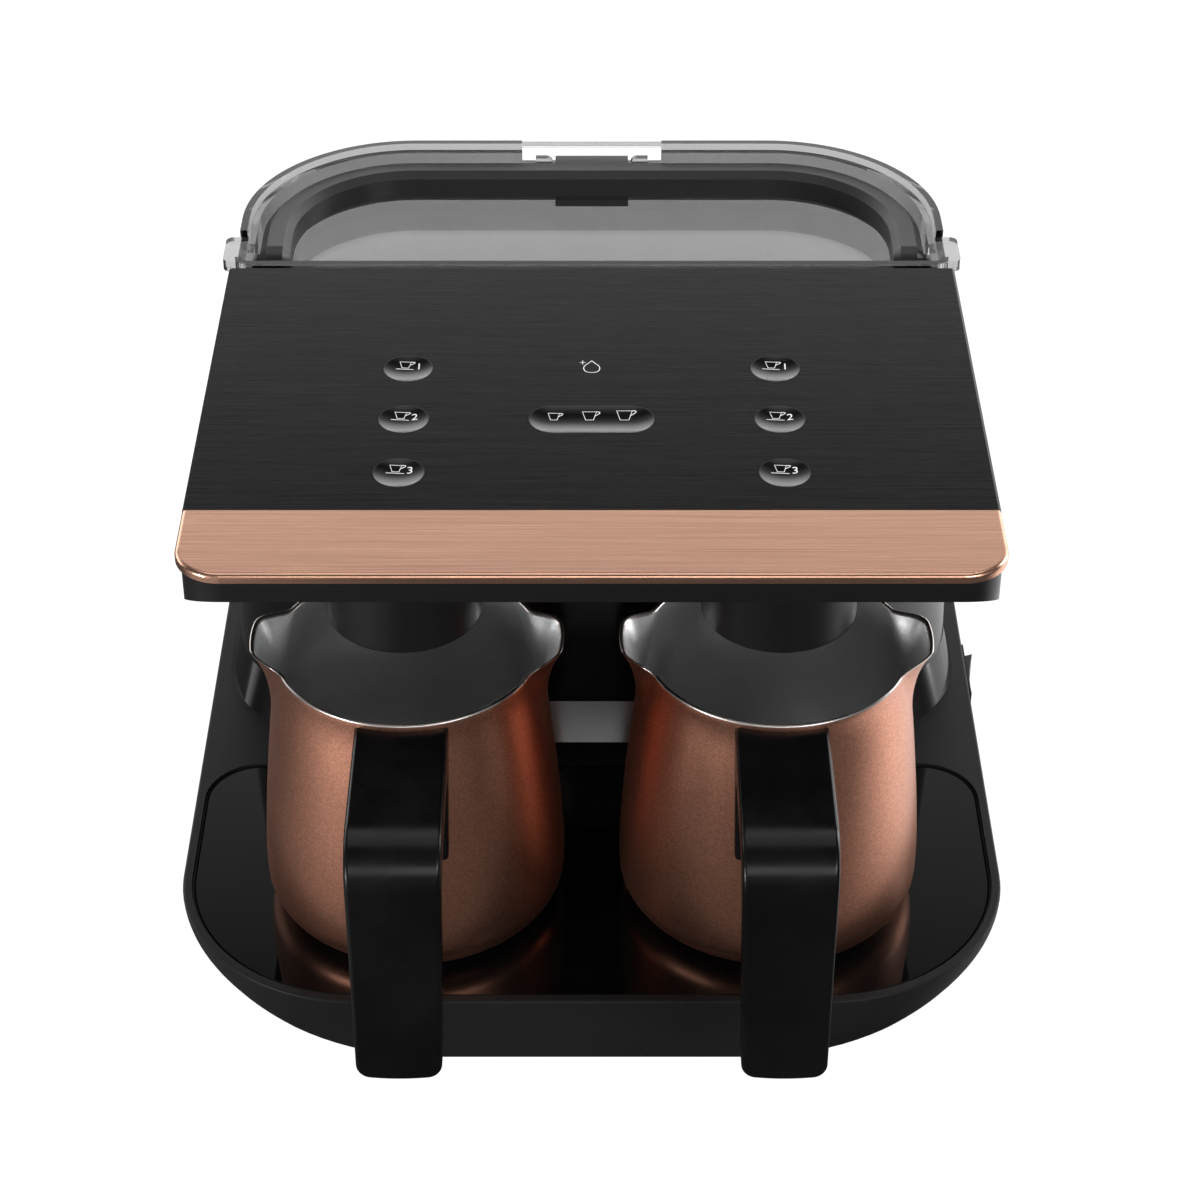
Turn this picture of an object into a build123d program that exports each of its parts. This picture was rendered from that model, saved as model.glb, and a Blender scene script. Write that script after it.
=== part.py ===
"""Two-pot electric Turkish coffee maker: base with glass hob, column, head, pots and water tank.

Millimetres. X to the right, Y to the rear, Z up. Two copper pots stand side by side on the
hob under the head, and the clear water tank stands behind the column. The pieces are drawn
about the middle of the base, and moved at the end so that the origin lies on the standing
surface under the middle of the whole footprint, pot handles included.
"""
from build123d import *
from math import radians, sin
import os

os.makedirs("parts", exist_ok=True)

# ---------------------------------------------------------------- driving dimensions
over = 1.0                     # how far a cutter runs past the face it opens

# Base
base_width = 270.0
base_depth = 292.0
base_front_radius = 61.0
base_rear_radius = 60.0
base_foot_front_radius = 84.0   # at the lower edge of the side wall
base_foot_inset = 1.0          # belt's sides to those of the lower edge
base_wall_curve = 1.6          # how late the side wall turns in on its way down
base_wall_steps = 4            # levels it is lofted through
foot_height = 3.0
foot_radius = 10.0
foot_stud_radius = 3.5
foot_chamfer = 0.8
foot_side_inset = 38.0
foot_front_inset = 51.0
foot_rear_inset = 41.0
housing_height = 24.0          # from the lower edge of the side wall to the belt
housing_wall = 2.5
deck_thickness = 3.0
belt_edge_radius = 0.8
cover_thickness = 2.5
cover_gap = 0.3
deck_opening_half = 80.0       # hole in the deck inside the column
deck_opening_front = 14.0
deck_opening_rear = 8.0
boss_radius = 4.0
boss_inset = 4.2               # inner side of the wall to a boss's axis
boss_half_spacing = 62.0
pilot_roof = 4.0               # left between a pilot hole and the top of its deck
screw_tip_gap = 2.0
screw_hole_gap = 0.2
screw_head_height = 1.2
screw_head_sink = 0.2
vent_slots = 7
vent_pitch = 6.0
vent_width = 3.0
vent_length = 40.0

# Glass hob
glass_margin = 3.8             # base edge to glass edge
glass_rear_y = -28.0
glass_rear_radius = 18.0
glass_thickness = 4.0
glass_chamfer = 0.5
glass_drop = 0.8               # belt down to the glass
seal_width = 0.8
seal_gap = 0.05
seal_drop = 0.2                # glass down to the seal's top
seal_flange = 3.0
seal_thickness = 0.8
ledge_width = 5.0
ledge_thickness = 2.5
frame_wall = 2.2

# Column and its skirt
skirt_front_y = -15.5
skirt_height = 11.5
skirt_setback = 8.5
skirt_side_inset = 4.7         # base edge to the skirt's lower edge
skirt_side_setback = 3.0
column_front_radius = 48.0
column_wall = 2.5
column_rear_y = 52.7
back_plate_thickness = 2.5

# Head
machine_height = 177.7
head_height = 17.7             # underside to top
fascia_height = 10.0           # parting line of head shell and underside up to the top
fascia_edge = 0.8              # upright front edge of the underside below that line
head_side_inset = 12.2         # base edge to the head's side
head_front_y = -126.2
head_front_radius = 14.3
trim_thickness = 1.5           # brushed sheet and copper band
trim_lip = 3.0                 # how far their turned edge reaches down
trim_edge_radius = 1.4
trim_gap = 0.1
panel_bevel = 0.9
band_depth = 33.6
ramp_length = 11.5             # underside rises towards the front over this length
head_wall = 2.2
shell_top_thickness = 2.0
column_opening_side = 12.8     # head's side to the hole in its underside, inside the column
column_opening_front = 12.0
column_opening_rear = 8.0

# Nozzles
pot_spacing = 115.0            # between the two pot axes
pot_axis_y = -85.8
nozzle_radius = 23.9
nozzle_offset = 3.9            # nozzle axis in front of the pot axis
nozzle_drop = 20.6             # below the head's underside
nozzle_wall = 2.0
nozzle_recess = 8.0
nozzle_edge_radius = 1.2
nozzle_gap = 0.3
lug_length = 4.0
lug_width = 9.0
lug_thickness = 1.5
jet_radius = 3.5
jet_bore = 1.5
jet_reach = 3.0                # below the nozzle's inner plate
jet_collar = 2.0
jet_collar_height = 1.5
sensor_radius = 3.0
sensor_spacing = 24.0
sensor_lens = 0.6
sensor_can_height = 4.0
insert_gap = 0.05              # jets and sensors in their holes

# Keys
key_radius = 8.15
key_gap = 0.15
key_travel = 0.6
key_dish = 1.3                 # depth of the finger dish
key_edge = 0.4                 # flat rim round the dish
key_flange = 1.3
key_flange_thickness = 1.4
key_stop_gap = 0.05            # flange below the shell
key_column_x = 58.9
key_rear_y = -11.8
key_pitch = 30.2
key_rows = 3
size_key_length = 39.8
key_stem_radius = 2.6
stem_gap = 0.1                 # left under a stem at full travel

# Control board and key mat in the head
board_thickness = 1.6
board_half_width = 72.0
board_front_gap = 0.7          # behind the jets
board_rear_reach = 13.8        # behind the rear keys
board_standoff = 2.0
board_post_radius = 3.0
board_post_inset = 5.0
board_post_x = 22.0            # the two posts in front
driver_length = 28.0
driver_depth = 10.0
driver_height = 2.2
plug_length = 16.0
plug_depth = 8.0
plug_height = 4.0
mat_thickness = 0.8
mat_border = 8.0
mat_window_half = 42.0
mat_strip_half = 12.0          # half width of the strip under the long key
dome_height = 1.8
dome_radius = 4.5
dome_taper = 1.5

# Pots
pot_height = 96.8
pot_rim_radius = 42.1
pot_neck_radius = 41.3
pot_belly_radius = 48.4
pot_foot_radius = 10.5         # rounding between wall and bottom
pot_wall = 1.5
pot_bottom = 2.5
lip_tip = 49.4                 # pour lip's reach from the axis
lip_half_width = 14.0
lip_rise = 3.2
lip_depth = 24.0
pot_seat_gap = 0.05
belly_fade = 3.0               # how far the wall has come in where it starts to curve
neck_flare = 1.4
belly_fade_share = 0.42        # heights on the wall, as shares of the pot's height
neck_flare_share = 0.78
neck_share = 0.91
rim_start_slope = 0.18         # slope of the wall at the rim
lip_corner_share = 0.3
rim_level_share = 0.84         # where the rim starts to rise, as a share of its radius
rim_tip_share = 0.75
rim_end_share = 1.1
rim_end_slope = 0.1

# Pot handles
handle_width = 28.6
handle_end_width = 25.7
handle_drop = 2.1              # rim down to the arm's top
handle_reach = 98.4
handle_end_reach = 108.4
handle_length = 82.6           # rim down to the handle's end
handle_bend_radius = 16.0
handle_inner_radius = 7.0
handle_root_radius = 5.0
handle_toe_radius = 2.0
handle_arm = 12.5
handle_leg = 10.5
handle_root_height = 47.0
handle_root_thickness = 5.0
handle_root_taper = 2.0
handle_corner_radius = 4.7
handle_end_crown = 1.0
handle_edge_radius = 1.5
handle_gap = 0.1
bracket_width = 12.0
bracket_thickness = 3.0
bracket_tongue = 16.0
bracket_cover = 3.5            # handle's top down to the bracket
bracket_foot = 10.0            # how far the bracket's plate reaches below the arm
bracket_step = 2.0             # plate's upper end above the tongue
weld_gap = 0.02
screw_radius = 1.6
screw_head_radius = 3.0
screw_end_inset = 4.0
screw_sink = 0.8
screw_seat_depth = 3.0
screw_gap = 0.1

# Water tank
tank_side_inset = 13.5         # base edge to the tank's side
tank_gap = 2.5                 # column back to tank front
tank_rear_setback = 0.1        # base's rear edge to the tank's
tank_front_radius = 5.0
tank_rear_radius = 57.9
tank_draft = 1.5
tank_wall = 2.5
tank_ledge = 1.6               # step under the lid's edge
ledge_height = 2.2
outlet_y = 98.0
outlet_radius = 9.0
outlet_length = 10.0
outlet_bore = 6.0
valve_gap = 0.1
valve_rise = 2.5               # outlet's lower end up to the valve plate
valve_plate = 2.0
valve_rib = 0.8                # half thickness
socket_gap = 0.4
socket_wall = 3.5
socket_flange = 5.0
socket_flange_thickness = 1.5
socket_floor = 2.0
socket_floor_gap = 1.0         # outlet's lower end down to the socket's floor
socket_rim_drop = 0.5
socket_pin_radius = 1.5
nipple_reach = 2.0
pin_end_gap = 0.1
oring_section = 1.2
oring_gap = 0.1
oring_drop = 4.0               # belt down to the ring
filter_radius = 11.0
filter_height = 14.0
filter_wall = 1.5
filter_edge_radius = 3.0
filter_slots = 8
filter_slot_width = 2.2
filter_slot_height = 6.0

# Lid, the finger slot behind it and the carry handle
lid_gap = 0.6
lid_front_gap = 1.5
lid_seat_gap = 0.3
lid_wall = 2.5
lid_drop = 2.2                 # tank rim down to the lid's rim
lid_depth = 16.5
lid_plate = 2.0
tab_overhang = 4.6             # beyond the tank's side
tab_front_y = 61.3
tab_length = 16.8
tab_thickness = 4.0
tab_corner_radius = 2.5
tab_gap = 0.8
notch_half = 25.3              # finger slot in the rear walls of tank and lid
notch_drop = 5.8               # lid's rim down to the slot's floor
bar_radius = 1.1               # rim of the tank across the slot
guide_width = 6.2
guide_inset = 5.0              # slot's end to a guide
guide_corner_radius = 2.4
pin_gap = 0.08
bail_gap = 1.2
bail_width = 10.4
bail_height = 12.0
bail_drop = 2.2                # lid rim down to the bail's top
bail_edge = 2.4
heel_depth = 3.4               # behind the bail's rear side
heel_thickness = 3.2
bail_pivot_y = 76.0
bail_pin_radius = 2.5
bail_pin_root = 1.0
bail_pin_end_gap = 0.8
bail_tab_width = 26.3
bail_tab_depth = 2.4
bail_tab_thickness = 2.5

# Switch on the right side of the base
switch_y = 33.0
switch_length = 23.3
switch_height = 11.4
switch_reach = 6.8             # of its face beyond its axis
switch_root_share = 0.75       # length of its root as a share of its face
switch_hollow = 0.9
switch_edge = 1.0
switch_axle_radius = 3.0
switch_axle_length = 9.4
switch_sink = 2.5              # axis inside the side wall
switch_tilt = 6.0              # either way from the middle
switch_end_gap = 0.8
switch_side_gap = 0.5
sleeve_wall = 0.8
sleeve_gap = 0.1
bezel_border = 1.4
bezel_thickness = 1.2
bezel_depth = 9.0
bezel_root = 1.0
bezel_corner_radius = 2.0
wall_cut_depth = 6.0

# Mains inlet in the rear wall
inlet_x = -70.0
inlet_width = 27.0
inlet_height = 17.0
inlet_depth = 14.0
inlet_gap = 0.2
inlet_wall = 2.0
inlet_wall_low = 1.6
inlet_flange = 1.0
inlet_flange_border = 3.0
inlet_flange_low = 2.0
blade_half_width = 1.0
blade_half_height = 2.0
blade_spacing = 7.0
blade_low = -1.5               # outer blades from the middle of the inlet
blade_high = 2.5               # middle blade
blade_sink = 2.0

# Coils and their probes
coil_radius = 38.0
coil_bore = 13.0
coil_thickness = 3.5
coil_turns = 6
coil_groove = 0.7
coil_crown = (0.3, 0.7)        # flat top of a turn, as shares of its pitch
coil_gap = 1.0                 # glass down to the coil
carrier_thickness = 2.5
carrier_ring = 4.0
carrier_arm_width = 7.0
carrier_arms = 6
carrier_legs = 3
carrier_leg_radius = 3.5
probe_radius = 4.5
probe_gap = 0.2
probe_touch = 0.05

# Fan
fan_size = 50.0
fan_corner_radius = 4.0
fan_thickness = 12.0
fan_y = 22.0
fan_gap = 0.8
fan_duct_wall = 1.5
fan_strut_width = 3.0
fan_strut_thickness = 1.5
fan_blades = 7
fan_blade_thickness = 0.9
fan_root_pitch = 42.0
fan_tip_pitch = 24.0
fan_root_share = 0.75          # root chord as a share of the tip's
fan_hub_radius = 10.0
fan_hub_cap = 1.2
fan_pin_radius = 1.5
fan_pin_drop = 3.0

# Power board in the column
power_board_half = 62.0
power_board_rise = 25.0        # above the belt
power_board_height = 86.0
power_board_standoff = 6.0
stud_radius = 3.0
stud_inset = 5.0
capacitor_x = (-38.0, -16.0)
capacitor_radius = 9.0
capacitor_length = 22.0
choke_x = 10.0
choke_radius = 12.0
choke_length = 14.0
relay_x = 38.0
relay_width = 20.0
relay_height = 22.0
relay_depth = 12.0
component_rise = 20.0          # board's lower edge up to their middle
sink_half = 52.0
sink_rise = 46.0
sink_height = 34.0
sink_plate = 5.0
sink_depth = 22.0
sink_fins = 9
sink_fin_thickness = 2.0
sink_fin_inset = 4.0

# Pumps and hoses
pump_side_inset = 43.0         # base edge to a pump's axis
pump_rear_gap = 25.7           # column's rear face to a pump's axis
pump_radius = 13.0
pump_height = 44.0
pump_head_border = 1.0
pump_head_height = 18.0
nipple_length = 4.0
nipple_step = 1.0              # nipple radius below the hose's
hose_radius = 3.0
hose_bend = 13.0
hose_clearance = 3.0           # hose above the tray's floor
feed_hose_inset = 1.0
jet_nipple_step = 0.5
socket_hose_rise = 0.5

# ---------------------------------------------------------------- levels and plans
housing_z = foot_height
belt_z = housing_z + housing_height
deck_under_z = belt_z - deck_thickness
cover_top_z = housing_z + cover_thickness
glass_top_z = belt_z - glass_drop
glass_low_z = glass_top_z - glass_thickness
ledge_z = glass_low_z - seal_thickness
coil_low_z = glass_low_z - coil_gap - coil_thickness
half_depth = base_depth / 2
half_width = base_width / 2
skirt_half_width = half_width - skirt_side_inset
head_half_width = half_width - head_side_inset
column_opening_half = head_half_width - column_opening_side
tank_half_width = half_width - tank_side_inset
tab_reach = tank_half_width + tab_overhang
pump_x = half_width - pump_side_inset
pot_x = pot_spacing / 2
pot_floor_z = glass_top_z + pot_seat_gap
nozzle_y = pot_axis_y - nozzle_offset
underside_z = machine_height - head_height
fascia_low_z = machine_height - fascia_height
underside_floor_z = underside_z + head_wall
trim_low_z = machine_height - trim_thickness
shell_ceiling_z = trim_low_z - shell_top_thickness
fascia_inset = trim_thickness + trim_gap
nozzle_low_z = underside_z - nozzle_drop
nozzle_plate_z = nozzle_low_z + nozzle_recess
hose_z = underside_floor_z + hose_radius + hose_clearance
board_z = underside_floor_z + board_standoff
board_top_z = board_z + board_thickness
board_front_y = nozzle_y + jet_radius + jet_collar + board_front_gap
board_rear_y = key_rear_y + board_rear_reach
dome_top_z = board_top_z + mat_thickness + dome_height
stem_low_z = dome_top_z + key_travel + stem_gap
key_row_y = [key_rear_y - row * key_pitch for row in range(key_rows)]
size_key_y = key_row_y[1]
back_cut_y = column_rear_y - back_plate_thickness - cover_gap
power_board_rear_y = column_rear_y - back_plate_thickness - power_board_standoff
power_board_low = belt_z + power_board_rise
pump_y = column_rear_y - pump_rear_gap
pump_top_z = belt_z + pump_height + pump_head_height
tank_front_y = column_rear_y + tank_gap
tank_rear_y = half_depth - tank_rear_setback
lid_top_z = machine_height - lid_drop
lid_floor_z = lid_top_z - lid_depth + lid_plate
tank_ledge_z = lid_floor_z - lid_plate - lid_seat_gap
notch_z = lid_top_z - notch_drop
bar_y = tank_rear_y - bar_radius
bar_z = machine_height - bar_radius
bail_top_z = lid_top_z - bail_drop
bail_low_z = bail_top_z - bail_height
bail_pivot_z = bail_low_z + bail_height / 2
socket_radius = outlet_radius + socket_gap + socket_wall
socket_low_z = belt_z - outlet_length - socket_floor - socket_floor_gap
socket_nipple_z = socket_low_z + socket_floor + hose_radius + socket_hose_rise
oring_z = belt_z - oring_drop
switch_z = housing_z + housing_height / 2
middle_y = (pot_axis_y - handle_end_reach + half_depth + inlet_flange) / 2
SIDES = {"left": -1, "right": 1}

# A plan is half width, front Y, rear Y, front corner radius and rear corner radius.
base_plan = (half_width, -half_depth, half_depth, base_front_radius, base_rear_radius)
glass_plan = (half_width - glass_margin, -half_depth + glass_margin, glass_rear_y,
              base_front_radius - glass_margin, glass_rear_radius)
skirt_plan = (skirt_half_width, skirt_front_y, column_rear_y, column_front_radius, 0.0)
column_foot_plan = (skirt_half_width - skirt_side_setback, skirt_front_y + skirt_setback,
                    column_rear_y, column_front_radius, 0.0)
fascia_plan = (head_half_width - fascia_inset, head_front_y + fascia_inset, column_rear_y,
               head_front_radius - fascia_inset, 0.0)
column_top_plan = (head_half_width - fascia_inset, skirt_front_y + skirt_setback,
                   column_rear_y, column_front_radius, 0.0)
tank_plan = (tank_half_width, tank_front_y, tank_rear_y, tank_front_radius, tank_rear_radius)
tank_foot_plan = (tank_half_width - tank_draft, tank_front_y, tank_rear_y - tank_draft,
                  tank_front_radius, tank_rear_radius)
lid_plan = (tank_half_width - tank_wall - lid_gap, tank_front_y + tank_wall + lid_front_gap,
            tank_rear_y - tank_wall - lid_gap,
            tank_front_radius - tank_wall, tank_rear_radius - tank_wall - lid_gap)

SCREW_PLACES = [(side * (half_width - base_foot_inset - housing_wall - boss_inset), y)
                for side in (-1, 1) for y in (-boss_half_spacing, boss_half_spacing)]
SCREW_PLACES += [(0, side * (half_depth - housing_wall - boss_inset)) for side in (-1, 1)]
FOOT_PLACES = [(side * (half_width - foot_side_inset), y) for side in (-1, 1)
               for y in (-half_depth + foot_front_inset, half_depth - foot_rear_inset)]
# Each section of a pour lip is its depth below the rim, and its reach and half width as
# shares of those at the tip.
LIP_SECTIONS = ((lip_depth, 0.86, 0.42), (lip_depth * 0.5, 0.885, 0.62),
                (lip_depth * 0.16, 0.952, 0.9), (-2 * lip_rise, 1.025, 1.0))
BOARD_POSTS = [(side * board_post_x, board_front_y + board_post_inset) for side in (-1, 1)]
BOARD_POSTS += [(side * (board_half_width - board_post_inset), y) for side in (-1, 1)
                for y in ((key_row_y[1] + key_row_y[2]) / 2, board_rear_y - 2 * board_post_inset)]


def plan(shape, inset=0.0):
    """Face of a plan, moved inwards by inset."""
    half, front, rear, front_radius, rear_radius = shape
    face = Pos(0, (front + rear) / 2) * Rectangle(2 * (half - inset), rear - front - 2 * inset)
    for radius, corners in ((front_radius, slice(0, 2)), (rear_radius, slice(-2, None))):
        if radius > inset:
            face = fillet(face.vertices().sort_by(Axis.Y)[corners], radius - inset)
    return face


def slab(shape, low, high, inset=0.0):
    """Straight solid over a plan between two levels."""
    return extrude(Pos(0, 0, low) * plan(shape, inset), high - low)


def drafted(low_shape, high_shape, low, high, inset=0.0):
    """Solid lofted from one plan at the lower level to another at the higher one."""
    return loft([Pos(0, 0, low) * plan(low_shape, inset), Pos(0, 0, high) * plan(high_shape, inset)])


def shell_between(low_shape, high_shape, low, high, wall):
    """Wall between two levels that follows two plans, open above and below."""
    outer = drafted(low_shape, high_shape, low, high)
    return outer - drafted(low_shape, high_shape, low - insert_gap, high + insert_gap, wall)


def block(x_low, x_high, y_low, y_high, z_low, z_high):
    """Box between six coordinates."""
    middle = Pos((x_low + x_high) / 2, (y_low + y_high) / 2, (z_low + z_high) / 2)
    return middle * Box(x_high - x_low, y_high - y_low, z_high - z_low)


def centred(x, y, z_low, width, depth, height):
    """Box over a middle point of its lower face."""
    return Pos(x, y, z_low + height / 2) * Box(width, depth, height)


def side_block(x, y, z, reach, length, height):
    """Box that runs from x inwards by reach, centred on Y and Z."""
    return Pos(x - reach / 2, y, z) * Box(reach, length, height)


def rear_block(x, y, z, reach, width, height):
    """Box that runs from y forwards by reach, centred on X and Z."""
    return Pos(x, y - reach / 2, z) * Box(width, reach, height)


def post(x, y, low, high, radius):
    """Upright cylinder between two levels."""
    return Pos(x, y, (low + high) / 2) * Cylinder(radius, high - low)


def rod(x_start, x_end, y, z, radius):
    """Cylinder along X."""
    return Pos((x_start + x_end) / 2, y, z) * Rot(0, 90, 0) * Cylinder(radius, abs(x_end - x_start))


def stub(x, y_front, y_rear, z, radius):
    """Cylinder along Y."""
    return Pos(x, (y_front + y_rear) / 2, z) * Rot(90, 0, 0) * Cylinder(radius, y_rear - y_front)


def group(solids):
    """Several separate solids as one part."""
    return Part() + list(solids)


# ---------------------------------------------------------------- base
def base_plan_at(z):
    """Plan of the base at a level: its front corners turn in towards the lower edge."""
    share = ((belt_z - z) / housing_height) ** base_wall_curve
    turn_in = (base_foot_front_radius - base_front_radius) * share
    return (half_width - base_foot_inset * share, -half_depth, half_depth,
            base_front_radius + turn_in, base_rear_radius)


def base_hull(inset=0.0):
    """Solid inside the side wall's outer surface, moved inwards by inset."""
    levels = [housing_z + step * housing_height / base_wall_steps
              for step in range(base_wall_steps + 1)]
    return loft([Pos(0, 0, z) * plan(base_plan_at(z), inset) for z in levels])


def make_base_housing():
    """Side wall and deck in one moulding, open below, with a stepped seat for the glass."""
    body = base_hull()
    body = fillet(body.edges().group_by(Axis.Z)[-1], belt_edge_radius)
    body -= base_hull(housing_wall) & slab(base_plan, 0, deck_under_z)
    body += base_hull(housing_wall / 2) & slab(glass_plan, ledge_z - ledge_thickness, deck_under_z,
                                               -(seal_width + frame_wall))
    for x, y in SCREW_PLACES:
        body += post(x, y, cover_top_z + cover_gap, deck_under_z, boss_radius)
    body -= slab(glass_plan, ledge_z, belt_z + over, -seal_width)
    body -= slab(glass_plan, housing_z, belt_z, ledge_width)
    for x, y in SCREW_PLACES:
        body -= post(x, y, housing_z, deck_under_z - pilot_roof, screw_radius)
    body -= block(-deck_opening_half, deck_opening_half, column_foot_plan[1] + deck_opening_front,
                  column_rear_y - deck_opening_rear, 0, belt_z + over)
    body -= post(0, outlet_y, deck_under_z - over, belt_z + over, socket_radius + socket_gap)
    length, height = sleeve_size(sleeve_wall + sleeve_gap)
    body -= side_block(half_width + over, switch_y, switch_z, wall_cut_depth, length, height)
    return body - rear_block(inlet_x, half_depth + over, switch_z, wall_cut_depth, inlet_width,
                             inlet_height)


def make_glass_plate():
    """Glass hob with a ground edge."""
    plate = slab(glass_plan, glass_low_z, glass_top_z)
    return chamfer(plate.edges().group_by(Axis.Z)[-1], glass_chamfer)


def make_glass_seal():
    """Rubber seal of L section round and under the edge of the glass."""
    seal = slab(glass_plan, ledge_z, glass_top_z - seal_drop, seal_gap - seal_width)
    seal -= slab(glass_plan, glass_low_z, glass_top_z, -seal_gap)
    return seal - slab(glass_plan, ledge_z - over, belt_z, seal_flange)


def make_bottom_cover():
    """Plate that closes the base from below, with slots under the fan."""
    plate = slab(base_plan_at(housing_z), housing_z, cover_top_z, housing_wall + cover_gap)
    recess_z = housing_z + screw_head_sink + screw_head_height
    for x, y in SCREW_PLACES:
        plate -= post(x, y, 0, belt_z, screw_radius + screw_hole_gap)
        plate -= post(x, y, 0, recess_z, screw_head_radius + screw_hole_gap)
    for row in range(vent_slots):
        y = fan_y + (row - (vent_slots - 1) / 2) * vent_pitch
        plate -= centred(0, y, 0, vent_length, vent_width, belt_z)
    for x, y in FOOT_PLACES:
        plate -= post(x, y, 0, belt_z, foot_stud_radius + seal_gap)
    return plate


def make_feet():
    """Four rubber feet, each with a stud that fills its hole in the cover."""
    feet = []
    for x, y in FOOT_PLACES:
        foot = post(x, y, 0, housing_z, foot_radius)
        foot = chamfer(foot.edges().group_by(Axis.Z)[0], foot_chamfer)
        feet.append(foot + post(x, y, housing_z, cover_top_z, foot_stud_radius))
    return group(feet)


def make_bottom_screws():
    """Screws of the bottom cover."""
    head_low = housing_z + screw_head_sink
    head_top = head_low + screw_head_height
    tip = deck_under_z - pilot_roof - screw_tip_gap
    screws = []
    for x, y in SCREW_PLACES:
        head = post(x, y, head_low, head_top, screw_head_radius)
        screws.append(head + post(x, y, head_top, tip, screw_radius - seal_gap))
    return group(screws)


def make_coil_carrier(side):
    """Plastic spider with radial arms and three legs that stand on the bottom cover."""
    low = coil_low_z - carrier_thickness
    carrier = post(0, 0, low, coil_low_z, coil_bore)
    carrier += post(0, 0, low, coil_low_z, coil_radius) \
        - post(0, 0, low, coil_low_z, coil_radius - carrier_ring)
    arm = centred(coil_radius / 2, 0, low, coil_radius - carrier_ring / 2, carrier_arm_width,
                  carrier_thickness)
    for step in range(carrier_arms):
        carrier += Rot(0, 0, step * 360 / carrier_arms) * arm
    leg = post(0, coil_radius - carrier_ring, cover_top_z, low, carrier_leg_radius)
    for step in range(carrier_legs):
        carrier += Rot(0, 0, step * 360 / carrier_legs) * leg
    carrier -= post(0, 0, low - over, coil_low_z + over, probe_radius + probe_gap)
    return Pos(side * pot_x, pot_axis_y) * carrier


def make_coil(side):
    """Flat induction winding, as a ring with a groove between its turns."""
    pitch = (coil_radius - coil_bore) / coil_turns
    top = coil_low_z + coil_thickness
    points = [(coil_bore, coil_low_z), (coil_bore, top - coil_groove)]
    for turn in range(coil_turns):
        start = coil_bore + turn * pitch
        points += [(start + share * pitch, top) for share in coil_crown]
        points.append((start + pitch, top - coil_groove))
    points.append((coil_radius, coil_low_z))
    face = make_face(Plane.XZ * Polyline(*points, close=True))
    return Pos(side * pot_x, pot_axis_y) * revolve(face, Axis.Z)


def make_probes():
    """Temperature probes that touch the glass from below, one in the middle of each coil."""
    return group(post(side * pot_x, pot_axis_y, coil_low_z - carrier_thickness,
                      glass_low_z - probe_touch, probe_radius) for side in SIDES.values())


def make_fan_frame():
    """Square fan housing on the bottom cover, with a bearing spider below the rotor."""
    low = cover_top_z
    high = low + fan_thickness
    strut_top = low + fan_strut_thickness
    frame = centred(0, fan_y, low, fan_size, fan_size, fan_thickness)
    frame = fillet(frame.edges().filter_by(Axis.Z), fan_corner_radius)
    frame -= post(0, fan_y, low - over, high + over, fan_size / 2 - fan_duct_wall)
    for angle in (45, 135):
        strut = centred(0, 0, low, fan_size - fan_duct_wall, fan_strut_width, fan_strut_thickness)
        frame += Pos(0, fan_y) * Rot(0, 0, angle) * strut
    frame += post(0, fan_y, low, strut_top, fan_hub_radius - over)
    return frame + post(0, fan_y, strut_top, high - fan_pin_drop, fan_pin_radius)


def make_fan_rotor():
    """Fan rotor: a hub cap on the bearing pin and twisted blades."""
    low = cover_top_z + fan_strut_thickness + fan_gap
    high = cover_top_z + fan_thickness - fan_gap
    tip = fan_size / 2 - fan_duct_wall - fan_gap
    tip_chord = (high - low - fan_hub_cap) / sin(radians(fan_root_pitch))
    hub = post(0, 0, low, high, fan_hub_radius)
    sections = []
    for radius, pitch, chord in ((fan_hub_radius - over, fan_root_pitch, fan_root_share * tip_chord),
                                 (tip, fan_tip_pitch, tip_chord)):
        place = Plane(origin=(radius, 0, (low + high) / 2), x_dir=(0, 1, 0), z_dir=(1, 0, 0))
        sections.append(place * Rot(0, 0, pitch) * Rectangle(chord, fan_blade_thickness))
    blade = loft(sections)
    for step in range(fan_blades):
        hub += Rot(0, 0, step * 360 / fan_blades) * blade
    hub -= post(0, 0, low - over, high - fan_hub_cap, fan_pin_radius + insert_gap)
    return Pos(0, fan_y, 0) * hub


def sleeve_size(border):
    """Length and height round the rocker's opening, with a border on every side."""
    return (switch_length + 2 * (switch_end_gap + border),
            switch_height + 2 * (switch_side_gap + border))


def make_switch_bezel():
    """Frame of the power switch, clipped into the side wall."""
    face_x = half_width + bezel_thickness
    length, height = sleeve_size(sleeve_wall + bezel_border)
    outer = side_block(face_x, switch_y, switch_z, bezel_thickness + base_foot_inset, length, height)
    outer = fillet(outer.edges().filter_by(Axis.X), bezel_corner_radius) - base_hull(-insert_gap)
    length, height = sleeve_size(sleeve_wall)
    sleeve = side_block(half_width, switch_y, switch_z, bezel_depth, length, height)
    length, height = sleeve_size(0)
    hollow = side_block(face_x + over, switch_y, switch_z,
                        bezel_thickness + bezel_depth - bezel_root + over, length, height)
    return outer + sleeve - hollow


def make_power_switch():
    """Rocker with a hollowed face, resting on its rear end, with its axle along Z."""
    half = switch_length / 2
    root = half * switch_root_share
    edge_x = switch_reach - switch_edge
    outline = make_face([
        Line((0, -root), (0, root)),
        Line((0, root), (edge_x, half)),
        ThreePointArc((edge_x, half), (edge_x - switch_hollow, 0), (edge_x, -half)),
        Line((edge_x, -half), (0, -root)),
    ])
    rocker = Pos(0, 0, -switch_height / 2) * extrude(outline, switch_height)
    rocker += Cylinder(switch_axle_radius, switch_axle_length)
    return Pos(half_width - switch_sink, switch_y, switch_z) * Rot(0, 0, -switch_tilt) * rocker


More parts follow.
